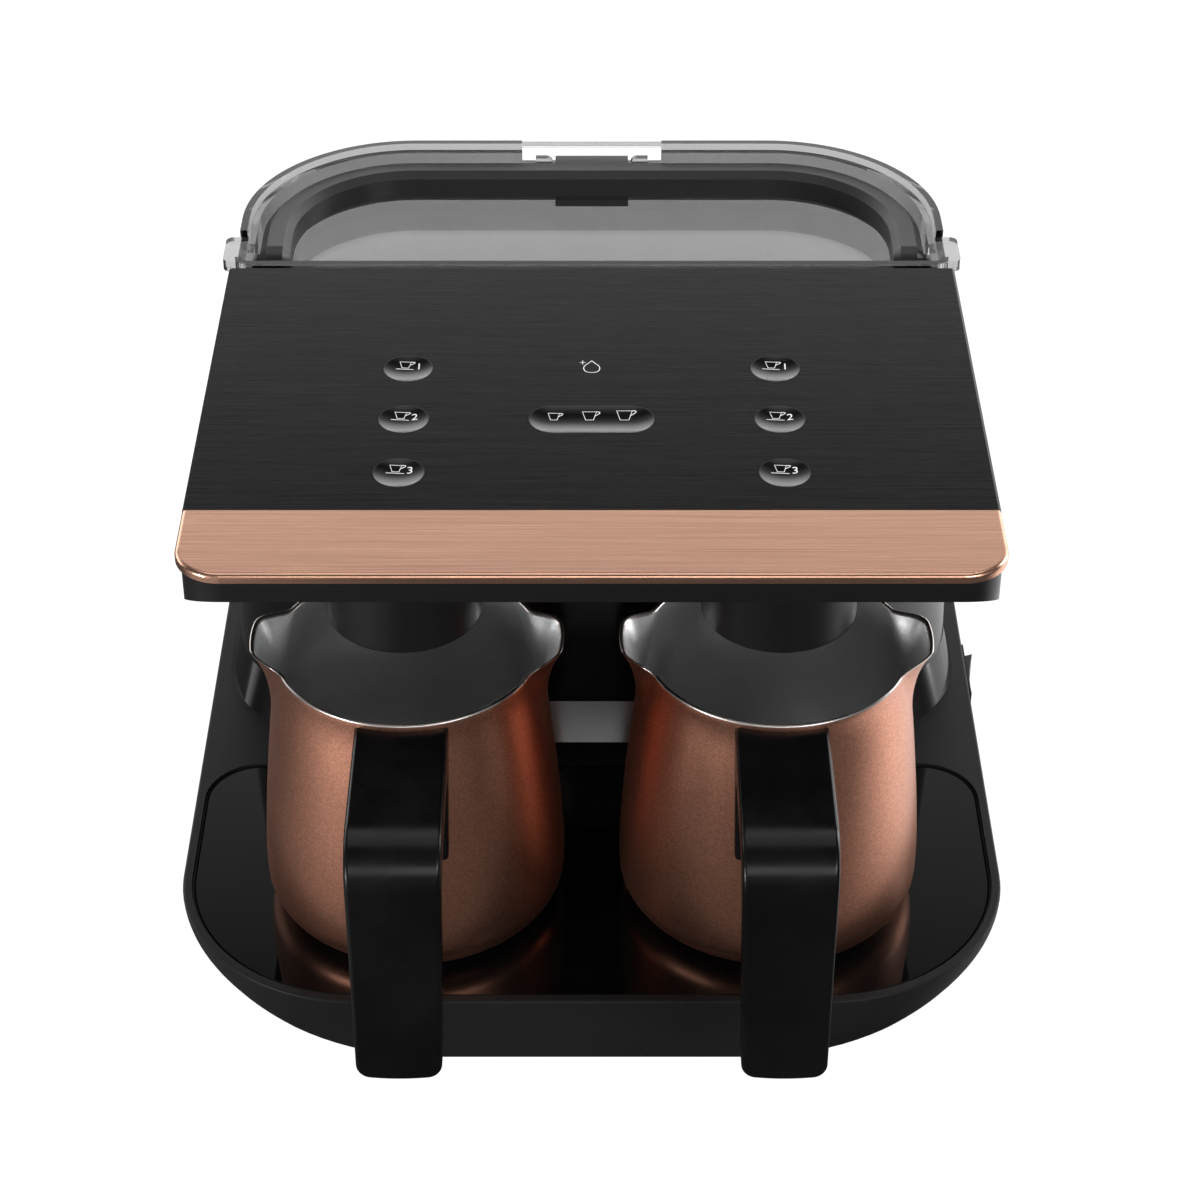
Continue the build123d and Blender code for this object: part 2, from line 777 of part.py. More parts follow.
def make_mains_inlet():
    """Recessed socket for a mains lead in the rear wall, with three blades."""
    y_out = half_depth + inlet_flange
    floor_y = half_depth - inlet_depth + inlet_wall
    flange = rear_block(inlet_x, y_out, switch_z, inlet_flange,
                        inlet_width + 2 * inlet_flange_border, inlet_height + 2 * inlet_flange_low)
    flange = fillet(flange.edges().filter_by(Axis.Y), bezel_corner_radius)
    shell = rear_block(inlet_x, half_depth, switch_z, inlet_depth, inlet_width - 2 * inlet_gap,
                       inlet_height - 2 * inlet_gap)
    recess = rear_block(inlet_x, y_out + over, switch_z, y_out + over - floor_y,
                        inlet_width - 2 * inlet_wall, inlet_height - 2 * inlet_wall_low)
    body = flange + shell - recess
    for x, z in ((-blade_spacing, blade_low), (0, blade_high), (blade_spacing, blade_low)):
        body += block(inlet_x + x - blade_half_width, inlet_x + x + blade_half_width, floor_y,
                      half_depth - blade_sink, switch_z + z - blade_half_height,
                      switch_z + z + blade_half_height)
    return body


# ---------------------------------------------------------------- column
def open_behind(shape, low, high, shell):
    """Column piece with its rear cut off where the back plate fits."""
    half = shape[0]
    return shell - block(-half, half, back_cut_y, column_rear_y + over, low - over, high + over)


def make_column_skirt():
    """Flared foot of the column, a sloped band that stands on the deck."""
    low, high = belt_z, belt_z + skirt_height
    band = shell_between(skirt_plan, column_foot_plan, low, high, column_wall)
    return open_behind(skirt_plan, low, high, band)


def make_column_shell():
    """Glossy front and sides of the column, tapering to the head, open at the rear."""
    low, high = belt_z + skirt_height, underside_z
    shell = shell_between(column_foot_plan, column_top_plan, low, high, column_wall)
    return open_behind(column_foot_plan, low, high, shell)


def make_column_back():
    """Rear plate of the column, with studs that carry the power board."""
    low_half = column_foot_plan[0]
    high_half = column_top_plan[0]
    outline = make_face(Plane.XZ * Polyline((-low_half, belt_z), (low_half, belt_z),
                                            (high_half, underside_z), (-high_half, underside_z),
                                            close=True))
    plate = Pos(0, column_rear_y, 0) * extrude(outline, back_plate_thickness)
    inner = column_rear_y - back_plate_thickness
    high = power_board_low + power_board_height
    for x in (-power_board_half + stud_inset, power_board_half - stud_inset):
        for z in (power_board_low + stud_inset, high - stud_inset):
            plate += stub(x, power_board_rear_y, inner, z, stud_radius)
    return plate


def make_power_board():
    """Inverter board behind the column front, with its capacitors, choke and relay."""
    front = power_board_rear_y - board_thickness
    middle = power_board_low + component_rise
    board = block(-power_board_half, power_board_half, front, power_board_rear_y,
                  power_board_low, power_board_low + power_board_height)
    for x in capacitor_x:
        board += stub(x, front - capacitor_length, front, middle, capacitor_radius)
    board += stub(choke_x, front - choke_length, front, middle, choke_radius)
    return board + rear_block(relay_x, front, middle, relay_depth, relay_width, relay_height)


def make_heat_sink():
    """Finned aluminium block on the power board."""
    rear = power_board_rear_y - board_thickness
    low = power_board_low + sink_rise
    sink = block(-sink_half, sink_half, rear - sink_plate, rear, low, low + sink_height)
    pitch = 2 * (sink_half - sink_fin_inset) / (sink_fins - 1)
    for fin in range(sink_fins):
        x = -sink_half + sink_fin_inset + fin * pitch
        sink += block(x - sink_fin_thickness / 2, x + sink_fin_thickness / 2, rear - sink_depth,
                      rear - sink_plate, low, low + sink_height)
    return sink


def make_pump(side):
    """Small water pump: upright motor can with a pump head and two nipples."""
    x = side * pump_x
    top = belt_z + pump_height
    head_half = pump_radius + pump_head_border
    body = post(x, pump_y, belt_z, top, pump_radius)
    body += centred(x, pump_y, top, 2 * head_half, 2 * head_half, pump_head_height)
    body += post(x, pump_y, pump_top_z, pump_top_z + nipple_length, hose_radius - nipple_step)
    inner = x - side * head_half
    return body + rod(inner - side * nipple_length, inner, pump_y, top + pump_head_height / 2,
                      hose_radius - nipple_step)


def hose(points):
    """Round hose along straight runs joined by tangent arcs."""
    path = FilletPolyline(*points, radius=hose_bend)
    start = Plane(origin=path @ 0, z_dir=path % 0)
    return sweep(start * Circle(hose_radius), path=path)


def make_feed_hoses():
    """Hoses from the tank socket through the base and up to both pumps."""
    height = belt_z + pump_height + pump_head_height / 2
    low = socket_nipple_z
    hoses = []
    for side in SIDES.values():
        inlet = side * (pump_x - pump_radius - pump_head_border - nipple_length)
        rise = inlet - side * (hose_bend + feed_hose_inset)
        hoses.append(hose([(side * (socket_radius + nipple_reach), outlet_y, low),
                           (rise, outlet_y, low), (rise, pump_y, low), (rise, pump_y, height),
                           (inlet, pump_y, height)]))
    return group(hoses)


def make_hose(side):
    """Hose from a pump up into the head, forward and in to the nozzle's jet."""
    x = side * pump_x
    return hose([(x, pump_y, pump_top_z + nipple_length), (x, pump_y, hose_z),
                 (x, nozzle_y, hose_z), (side * (pot_x + jet_radius + nipple_reach), nozzle_y, hose_z)])


# ---------------------------------------------------------------- head
def front_ramp(offset):
    """Wedge below the head's rising front, moved up by offset."""
    front = fascia_plan[1]
    high = fascia_low_z - fascia_edge + offset
    side_view = Polyline((front - over, underside_z - over), (front - over, high), (front, high),
                         (front + ramp_length, underside_z + offset),
                         (front + ramp_length, underside_z - over), close=True)
    return extrude(make_face(Plane.YZ * side_view), half_width, both=True)


def make_head_underside():
    """Lower tray of the head: flat under the keys, rising to a thin front edge."""
    cavity = slab(fascia_plan, underside_floor_z, fascia_low_z + over, head_wall)
    cavity -= front_ramp(head_wall)
    tray = slab(fascia_plan, underside_z, fascia_low_z) - front_ramp(0) - cavity
    tray -= block(-column_opening_half, column_opening_half,
                  column_top_plan[1] + column_opening_front, column_rear_y - column_opening_rear,
                  0, fascia_low_z + over)
    for side in SIDES.values():
        tray -= post(side * pot_x, nozzle_y, 0, fascia_low_z + over, nozzle_radius + nozzle_gap)
    for x, y in BOARD_POSTS:
        tray += post(x, y, underside_floor_z, board_z, board_post_radius)
    return tray


def key_places():
    """Name, X and Y of the dose keys."""
    return [(f"key_{name}_{row + 1}", side * key_column_x, y)
            for name, side in SIDES.items() for row, y in enumerate(key_row_y)]


def key_holes(low, high):
    """Cutter for the holes that all keys pass through."""
    holes = [post(x, y, low, high, key_radius + key_gap) for _, x, y in key_places()]
    slot = SlotOverall(size_key_length + 2 * key_gap, 2 * (key_radius + key_gap))
    holes.append(extrude(Pos(0, size_key_y, low) * slot, high - low))
    return group(holes)


def make_head_shell():
    """Upper shell of the head, with its fascia and the holes of the keys."""
    shell = slab(fascia_plan, fascia_low_z, trim_low_z)
    shell -= slab(fascia_plan, fascia_low_z - over, shell_ceiling_z, head_wall)
    return shell - key_holes(shell_ceiling_z - over, trim_low_z + over)


def make_copper_band():
    """Copper-coloured aluminium band over the front edge of the head, with a rounded nose."""
    rear = head_front_y + band_depth
    band = slab((head_half_width, head_front_y, rear, head_front_radius, 0.0),
                machine_height - trim_lip, machine_height)
    top_edges = band.edges().group_by(Axis.Z)[-1].sort_by(Axis.Y)[:-1]
    band = fillet(top_edges, trim_edge_radius)
    inner = (head_half_width - trim_thickness, head_front_y + trim_thickness, rear + over,
             head_front_radius - trim_thickness, 0.0)
    return band - slab(inner, 0, trim_low_z)


def make_top_panel():
    """Brushed black panel behind the band, holding the keys, with bevelled side edges."""
    front = head_front_y + band_depth + trim_gap
    panel = slab((head_half_width, front, column_rear_y, 0.0, 0.0), machine_height - trim_lip,
                 machine_height)
    panel = chamfer(panel.edges().group_by(Axis.Z)[-1].filter_by(Axis.Y), panel_bevel)
    inner = head_half_width - trim_thickness
    panel -= block(-inner, inner, front - over, column_rear_y + over, 0, trim_low_z)
    return panel - key_holes(trim_low_z - over, machine_height + over)


def dish_radius():
    """Radius of the ball that leaves a dish of the right depth and rim in a key."""
    rim = key_radius - key_edge
    return (rim ** 2 + key_dish ** 2) / (2 * key_dish)


def key_blank(section, flange_section):
    """Cap with its retaining flange below the shell, both as high as their place asks."""
    flange_low = shell_ceiling_z - key_flange_thickness
    cap = extrude(Pos(0, 0, flange_low) * section, machine_height - flange_low)
    cap += extrude(Pos(0, 0, flange_low) * flange_section, key_flange_thickness - key_stop_gap)
    return cap + post(0, 0, stem_low_z, flange_low, key_stem_radius)


def make_round_key(x, y):
    """Dose key: dished cap, retaining flange and stem."""
    key = key_blank(Circle(key_radius), Circle(key_radius + key_flange))
    key -= Pos(0, 0, machine_height - key_dish + dish_radius()) * Sphere(dish_radius())
    return Pos(x, y, 0) * key


def make_size_key():
    """Long key in the middle, with a trough-shaped dish."""
    key = key_blank(SlotOverall(size_key_length, 2 * key_radius),
                    SlotOverall(size_key_length + 2 * key_flange, 2 * (key_radius + key_flange)))
    centre_z = machine_height - key_dish + dish_radius()
    half = size_key_length / 2 - key_radius
    trough = rod(-half, half, 0, centre_z, dish_radius())
    for x in (-half, half):
        trough += Pos(x, 0, centre_z) * Sphere(dish_radius())
    return Pos(0, size_key_y, 0) * (key - trough)


def make_control_board():
    """Control board on its posts in the head, with the display driver and plug strip."""
    board = block(-board_half_width, board_half_width, board_front_y, board_rear_y, board_z,
                  board_top_z)
    window_middle = (size_key_y + mat_strip_half + key_row_y[0]) / 2
    board += centred(0, window_middle, board_top_z, driver_length, driver_depth, driver_height)
    return board + centred(-driver_length, key_row_y[0] + driver_depth / 2, board_top_z,
                           plug_length, plug_depth, plug_height)


def make_key_mat():
    """Silicone mat with a snap dome under each key."""
    half = key_column_x + mat_border
    front, rear = key_row_y[-1] - mat_border, key_row_y[0] + mat_border
    top = board_top_z + mat_thickness
    mat = block(-half, half, front, rear, board_top_z, top)
    strip_front, strip_rear = size_key_y - mat_strip_half, size_key_y + mat_strip_half
    for window_front, window_rear in ((front - over, strip_front), (strip_rear, rear + over)):
        mat -= block(-mat_window_half, mat_window_half, window_front, window_rear,
                     board_top_z - over, top + over)
    for x, y in [(x, y) for _, x, y in key_places()] + [(0, size_key_y)]:
        dome = Cone(dome_radius, dome_radius - dome_taper, dome_height)
        mat += Pos(x, y, top + dome_height / 2) * dome
    return mat


def make_nozzle(side):
    """Round shroud over a pot, recessed below, hung in the head by two lugs."""
    x = side * pot_x
    top = underside_floor_z
    bore = nozzle_radius - nozzle_wall
    plate_top = nozzle_plate_z + nozzle_wall
    shroud = post(x, nozzle_y, nozzle_low_z, top + lug_thickness, nozzle_radius)
    shroud = fillet(shroud.edges().group_by(Axis.Z)[0], nozzle_edge_radius)
    shroud -= post(x, nozzle_y, nozzle_low_z - over, nozzle_plate_z, bore)
    lugs = centred(x, nozzle_y, top, 2 * (nozzle_radius + lug_length), lug_width, lug_thickness)
    shroud += lugs
    shroud -= post(x, nozzle_y, plate_top, top + lug_thickness + over, bore)
    shroud -= post(x, nozzle_y, nozzle_plate_z - over, plate_top + over, jet_radius + insert_gap)
    for sensor_x in sensor_places(side):
        shroud -= post(sensor_x, nozzle_y, nozzle_plate_z - over, plate_top + over,
                       sensor_radius + insert_gap)
    return shroud


def make_water_jets():
    """Jet tubes of the two nozzles, each with an elbow for its hose."""
    collar_z = nozzle_plate_z + nozzle_wall
    jets = []
    for side in SIDES.values():
        x = side * pot_x
        tube = post(x, nozzle_y, nozzle_plate_z - jet_reach, hose_z + hose_radius, jet_radius)
        tube += post(x, nozzle_y, collar_z, collar_z + jet_collar_height, jet_radius + jet_collar)
        tube += rod(x, x + side * (jet_radius + nipple_reach), nozzle_y, hose_z,
                    hose_radius - jet_nipple_step)
        jets.append(tube - post(x, nozzle_y, 0, hose_z, jet_bore))
    return group(jets)


def sensor_places(side):
    """X of the two foam sensors in one nozzle."""
    return [side * pot_x - sensor_spacing / 2, side * pot_x + sensor_spacing / 2]


def make_foam_sensors():
    """Optical foam sensors, two windows in each nozzle's inner plate."""
    collar_z = nozzle_plate_z + nozzle_wall
    sensors = []
    for side in SIDES.values():
        for x in sensor_places(side):
            window = post(x, nozzle_y, nozzle_plate_z - sensor_lens, collar_z, sensor_radius)
            sensors.append(window + post(x, nozzle_y, collar_z, collar_z + sensor_can_height,
                                         sensor_radius + sensor_lens))
    return group(sensors)


# ---------------------------------------------------------------- pots
def pot_outline(offset):
    """Right half of a pot's outer shape, in X and Z from its bottom centre, moved by offset."""
    height = pot_height
    top = height + lip_depth / 2
    flat = pot_belly_radius - pot_foot_radius
    belly = (pot_belly_radius + offset, pot_foot_radius)
    wall = Spline(belly,
                  (pot_belly_radius - belly_fade + offset, height * belly_fade_share),
                  (pot_neck_radius + neck_flare + offset, height * neck_flare_share),
                  (pot_neck_radius + offset, height * neck_share),
                  (pot_rim_radius + offset, height),
                  tangents=[(0, 1), (rim_start_slope, 1)])
    return [
        Line((0, -offset), (flat, -offset)),
        RadiusArc((flat, -offset), belly, -(pot_foot_radius + offset)),
        wall,
        Line((pot_rim_radius + offset, height), (pot_rim_radius + offset, top)),
        Line((pot_rim_radius + offset, top), (0, top)),
        Line((0, top), (0, -offset)),
    ]


def pot_body(offset):
    """Solid of revolution with a pot's outer shape, reaching above its rim."""
    return revolve(make_face([Plane.XZ * edge for edge in pot_outline(offset)]), Axis.Z)


def pour_lip(offset):
    """Solid of one pour lip, swelling out of the wall towards its tip."""
    sections = []
    for depth, reach, half in LIP_SECTIONS:
        tip = lip_tip * reach + offset
        width = 2 * (lip_half_width * half + offset)
        length = tip - pot_neck_radius / 2
        section = RectangleRounded(length, width, min(width, length) * lip_corner_share)
        sections.append(Pos(tip - length / 2, 0, pot_height - depth) * section)
    return loft(sections)


def rim_cut():
    """Everything above the rim, which rises towards both lips."""
    height = pot_height
    top = height + lip_depth
    start = (pot_rim_radius * rim_level_share, height)
    tip = (lip_tip - lip_rise, height + lip_rise * rim_tip_share)
    end = (lip_tip + 2 * lip_rise, height + lip_rise * rim_end_share)
    edge = Spline(start, tip, end, tangents=[(1, 0), (1, rim_end_slope)])
    face = make_face([Plane.XZ * item for item in (
        Line((0, height), start), edge, Line(end, (end[0], top)), Line((end[0], top), (0, top)),
        Line((0, top), (0, height)))])
    half = Pos(0, lip_tip, 0) * extrude(face, 2 * lip_tip)
    return half + mirror(half, Plane.YZ)


def on_hob(side, piece):
    """Piece of a pot moved from the pot's own centre to its place on the hob."""
    return Pos(side * pot_x, pot_axis_y, pot_floor_z) * piece


def make_pot(side):
    """Drawn pot with a thin wall and a pour lip on each side."""
    outer = pot_body(0)
    inner = pot_body(-pot_wall)
    for turn in (0, 180):
        outer += Rot(0, 0, turn) * pour_lip(0)
        inner += Rot(0, 0, turn) * pour_lip(-pot_wall)
    inner -= centred(0, 0, -over, 2 * pot_belly_radius, 2 * pot_belly_radius, pot_bottom + over)
    return on_hob(side, outer - inner - rim_cut())


def handle_side_view():
    """Side view of a pot handle in Y and Z from the pot's bottom centre, as one closed face."""
    arm_top = pot_height - handle_drop
    arm_low = arm_top - handle_arm
    end_z = pot_height - handle_length
    root_low = pot_height - handle_root_height
    wall_y = handle_root_thickness - pot_neck_radius
    root_y = -(pot_neck_radius + handle_root_taper + handle_root_thickness)
    leg_slope = (handle_end_reach - handle_reach) / handle_length
    corner = (-handle_reach, arm_top)
    inner_corner = (handle_leg - handle_reach - leg_slope * handle_arm, arm_low)
    root, toe = (root_y, arm_low), (root_y - handle_root_taper, root_low)
    face = make_face(Polyline((wall_y, arm_top), corner, (-handle_end_reach, end_z),
                              (handle_leg - handle_end_reach, end_z), inner_corner, root, toe,
                              (wall_y, root_low), close=True))
    for place, radius in ((corner, handle_bend_radius), (inner_corner, handle_inner_radius),
                          (root, handle_root_radius), (toe, handle_toe_radius)):
        face = fillet(face.vertices().sort_by_distance((*place, 0))[0], radius)
    return face


def handle_front_view():
    """Front view of a pot handle in X and Z: slightly tapering, with rounded lower corners."""
    top, end_z = pot_height, pot_height - handle_length
    half, end_half = handle_width / 2, handle_end_width / 2
    low = end_z + handle_end_crown
    face = make_face([
        Line((-half, top), (half, top)), Line((half, top), (end_half, low)),
        ThreePointArc((end_half, low), (0, end_z), (-end_half, low)),
        Line((-end_half, low), (-half, top))])
    return fillet(face.vertices().sort_by(Axis.Y)[:2], handle_corner_radius)


def bracket_solid(gap):
    """Welded steel bracket that the handle is pushed over, enlarged by gap for its pocket."""
    arm_low = pot_height - handle_drop - handle_arm
    high = pot_height - handle_drop - bracket_cover
    wall_y = bracket_thickness - pot_neck_radius
    front = -(pot_neck_radius + bracket_thickness) - gap
    back = front - bracket_thickness / 2
    half = bracket_width / 2 + gap
    tongue_top = high - bracket_step
    plate = block(-half, half, back, wall_y, arm_low - bracket_foot - gap, high + gap)
    return plate + block(-half, half, front - bracket_tongue, back,
                         tongue_top - bracket_thickness - gap, tongue_top + gap)


def handle_screw_place():
    """Y, lower end and upper end of the screw that holds a handle to its bracket."""
    arm_top = pot_height - handle_drop
    return -(pot_neck_radius + bracket_thickness + bracket_tongue - screw_end_inset), \
        arm_top - handle_arm, arm_top - bracket_cover - bracket_step


def make_pot_handle(side):
    """Black moulded handle: root plate on the wall, level arm and hanging grip."""
    prism = Pos(-handle_width) * extrude(Plane.YZ * handle_side_view(), 2 * handle_width)
    taper = extrude(Plane.XZ * handle_front_view(), 2 * handle_end_reach)
    handle = prism & taper
    side_edges = [edge for edge in handle.edges() if abs(edge.center().X) > handle_corner_radius
                  and edge.center().Y < -pot_neck_radius]
    handle = fillet(side_edges, handle_edge_radius)
    handle = handle - pot_body(handle_gap) - bracket_solid(handle_gap)
    y, low, high = handle_screw_place()
    handle -= post(0, y, low - over, high + screw_gap, screw_radius + screw_gap)
    handle -= post(0, y, low - over, low + screw_seat_depth, screw_head_radius + screw_gap)
    return on_hob(side, handle)


def make_handle_bracket(side):
    """Steel bracket spot-welded to the pot wall inside the handle's root."""
    y, low, high = handle_screw_place()
    bracket = bracket_solid(0) - pot_body(weld_gap)
    return on_hob(side, bracket - post(0, y, low, high + over, screw_radius + weld_gap))


def make_handle_screw(side):
    """Screw from below through the arm into the bracket."""
    y, low, high = handle_screw_place()
    seat = low + screw_seat_depth
    screw = post(0, y, low + screw_sink, seat, screw_head_radius)
    return on_hob(side, screw + post(0, y, seat, high, screw_radius))


# ---------------------------------------------------------------- water tank
def rear_notch(rear, wall, low):
    """Cutter for the finger slot in a rear wall, open above."""
    return block(-notch_half, notch_half, rear - wall - over, rear + over, low,
                 machine_height + over)


def make_water_tank():
    """Clear tank with a ledge for the lid, side notches, a rear bar and an outlet neck."""
    low, high = belt_z, machine_height
    half, _, rear, _, _ = tank_plan
    tank = drafted(tank_foot_plan, tank_plan, low, high)
    tank -= drafted(tank_foot_plan, tank_plan, low + tank_wall, high, tank_wall)
    tank -= slab(tank_plan, lid_top_z - lid_depth, high + over, tank_wall)
    ledge = slab(tank_plan, tank_ledge_z - ledge_height, tank_ledge_z, tank_wall - insert_gap)
    tank += ledge - slab(tank_plan, 0, high, tank_wall + tank_ledge)
    for side in SIDES.values():
        wall_x = side * (half - tank_wall / 2)
        tank -= centred(wall_x, tab_front_y + tab_length / 2,
                        lid_top_z - tab_thickness - lid_seat_gap, tank_wall + 2 * over,
                        tab_length + 2 * tab_gap, high)
    tank -= rear_notch(rear, tank_wall, notch_z)
    tank += rod(-notch_half - over, notch_half + over, bar_y, bar_z, bar_radius)
    tank += post(0, outlet_y, low - outlet_length, low + tank_wall / 2, outlet_radius)
    return tank - post(0, outlet_y, low - outlet_length - over, low + tank_wall + over, outlet_bore)


def make_tank_lid():
    """Clear tray-shaped lid with side tabs, guides for the bail's heel and holes for the bail."""
    half, _, rear, _, _ = lid_plan
    lid = slab(lid_plan, lid_floor_z - lid_plate, lid_top_z)
    lid -= slab(lid_plan, lid_floor_z, lid_top_z + over, lid_wall)
    inner = half - lid_wall
    for side in SIDES.values():
        reach = tab_reach - inner
        tab = centred(side * (inner + reach / 2), tab_front_y + tab_length / 2,
                      lid_top_z - tab_thickness, reach, tab_length, tab_thickness)
        outer = tab.edges().filter_by(Axis.Z).sort_by(Axis.X)
        lid += fillet(outer[-2:] if side > 0 else outer[:2], tab_corner_radius)
        lid -= rod(side * (inner - over), side * (half + over), bail_pivot_y, bail_pivot_z,
                   bail_pin_radius + pin_gap)
    lid -= rear_notch(rear, lid_wall, notch_z)
    for side in SIDES.values():
        guide = centred(side * (notch_half - guide_inset - guide_width / 2), rear - lid_wall / 2,
                        notch_z - over, guide_width, lid_wall, bail_top_z - notch_z + over)
        top_edges = guide.edges().filter_by(Axis.Y).sort_by(Axis.Z)[-2:].sort_by(Axis.X)
        lid += fillet(top_edges[0] if side > 0 else top_edges[-1], guide_corner_radius)
    return lid


def make_bail():
    """U-shaped carry handle lying in the lid, with round arm ends, a finger tab and a heel."""
    half = lid_plan[0] - lid_wall - bail_gap
    rear = lid_plan[2] - lid_wall - bail_gap
    rear_radius = lid_plan[4] - lid_wall - bail_gap
    bail = slab((half, bail_pivot_y, rear, 0.0, rear_radius), bail_low_z, bail_top_z)
    bail -= slab((half - bail_width, bail_pivot_y - over, rear - bail_width, 0.0,
                  rear_radius - bail_width), bail_low_z - over, bail_top_z + over)
    for side in SIDES.values():
        bail += rod(side * (half - bail_width), side * half, bail_pivot_y, bail_pivot_z,
                    bail_height / 2)
    bail = chamfer(bail.edges().group_by(Axis.Z)[-1], bail_edge)
    for side in SIDES.values():
        bail += rod(side * (half - bail_pin_root), side * (lid_plan[0] - bail_pin_end_gap),
                    bail_pivot_y, bail_pivot_z, bail_pin_radius)
    bail += centred(0, rear - bail_width + (over - bail_tab_depth) / 2, bail_low_z, bail_tab_width,
                    bail_tab_depth + over, bail_tab_thickness)
    heel_low = bail_top_z - heel_thickness
    return bail + centred(0, rear + (heel_depth - bail_edge - over) / 2, heel_low, bail_tab_width,
                          heel_depth + bail_edge + over, heel_thickness)


def make_tank_valve():
    """Spring-closed poppet in the outlet neck, held open by the socket's centre pin."""
    low = belt_z - outlet_length + valve_rise
    top = low + valve_plate
    reach = outlet_bore - valve_gap
    valve = post(0, 0, low, top, reach)
    valve += centred(0, 0, top, 2 * reach - valve_rib, 2 * valve_rib, belt_z + tank_wall - top)
    valve += centred(0, 0, top, 2 * valve_rib, 2 * reach - valve_rib, belt_z + tank_wall - top)
    return Pos(0, outlet_y) * valve


def make_tank_filter():
    """Mesh cap over the outlet on the tank's floor."""
    low = belt_z + tank_wall
    cap = post(0, 0, low, low + filter_height, filter_radius)
    cap = fillet(cap.edges().group_by(Axis.Z)[-1], filter_edge_radius)
    cap -= post(0, 0, low - over, low + filter_height - filter_wall, filter_radius - filter_wall)
    slot = centred(filter_radius, 0, low + (filter_height - filter_slot_height) / 2 - over,
                   2 * filter_edge_radius, filter_slot_width, filter_slot_height)
    for step in range(filter_slots):
        cap -= Rot(0, 0, step * 360 / filter_slots) * slot
    return Pos(0, outlet_y) * cap


def make_tank_socket():
    """Cup in the deck that takes the tank's outlet, with a centre pin and two nipples."""
    cup = post(0, outlet_y, socket_low_z, belt_z - socket_rim_drop, socket_radius)
    cup += post(0, outlet_y, deck_under_z - socket_flange_thickness, deck_under_z,
                socket_radius + socket_flange)
    cup -= post(0, outlet_y, socket_low_z + socket_floor, belt_z + over, outlet_radius + socket_gap)
    cup += post(0, outlet_y, socket_low_z, belt_z - outlet_length + valve_rise - pin_end_gap,
                socket_pin_radius)
    cup -= post(0, outlet_y, oring_z - oring_section, oring_z + oring_section,
                outlet_radius + oring_gap + 2 * oring_section)
    for side in SIDES.values():
        cup += rod(side * (socket_radius - socket_wall / 2), side * (socket_radius + nipple_reach),
                   outlet_y, socket_nipple_z, hose_radius - jet_nipple_step)
    return cup


def make_tank_seal():
    """O-ring that seals the tank's outlet in its socket."""
    ring = Torus(outlet_radius + oring_gap + oring_section, oring_section - insert_gap)
    return Pos(0, outlet_y, oring_z) * ring


# ---------------------------------------------------------------- all nodes
SINGLE_PARTS = {
    "base_housing": make_base_housing, "glass_plate": make_glass_plate,
    "glass_seal": make_glass_seal, "bottom_cover": make_bottom_cover, "feet": make_feet,
    "bottom_screws": make_bottom_screws, "pot_probes": make_probes,
    "fan_frame": make_fan_frame, "fan_rotor": make_fan_rotor,
    "switch_bezel": make_switch_bezel, "power_switch": make_power_switch,
    "mains_inlet": make_mains_inlet, "column_skirt": make_column_skirt,
    "column_shell": make_column_shell, "column_back": make_column_back,
    "power_board": make_power_board, "heat_sink": make_heat_sink,
    "feed_hoses": make_feed_hoses, "head_underside": make_head_underside,
    "head_shell": make_head_shell, "copper_band": make_copper_band,
    "top_panel": make_top_panel, "control_board": make_control_board,
    "key_mat": make_key_mat, "size_key": make_size_key, "water_jets": make_water_jets,
    "foam_sensors": make_foam_sensors, "tank_socket": make_tank_socket,
    "tank_seal": make_tank_seal, "water_tank": make_water_tank,
    "tank_valve": make_tank_valve, "tank_filter": make_tank_filter,
    "tank_lid": make_tank_lid, "tank_bail": make_bail,
}
PAIRED_PARTS = {
    "coil_carrier": make_coil_carrier, "induction_coil": make_coil, "pump": make_pump,
    "hose": make_hose, "nozzle": make_nozzle, "pot": make_pot, "pot_handle": make_pot_handle,
    "handle_bracket": make_handle_bracket, "handle_screw": make_handle_screw,
}


def all_parts():
    """Every sub-part by name, drawn about the middle of the base."""
    parts = {name: make() for name, make in SINGLE_PARTS.items()}
    for name, x, y in key_places():
        parts[name] = make_round_key(x, y)
    for side_name, side in SIDES.items():
        for name, make in PAIRED_PARTS.items():
            parts[f"{name}_{side_name}"] = make(side)
    return parts


for part_name, solid in all_parts().items():
    export_step(Pos(0, -middle_y, 0) * solid, f"parts/{part_name}.step")
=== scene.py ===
"""Two-pot electric Turkish coffee maker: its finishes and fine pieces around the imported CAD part.

The file is laid out as an add-on and is run as a script. Metres, with X to the right, Y to the
rear and Z up, and the origin on the standing surface under the middle of the footprint.
"""
from math import atan2, cos, pi, radians, sin, sqrt

import bmesh
import bpy
from bpy.props import FloatProperty, FloatVectorProperty, PointerProperty
from mathutils import Matrix, Vector


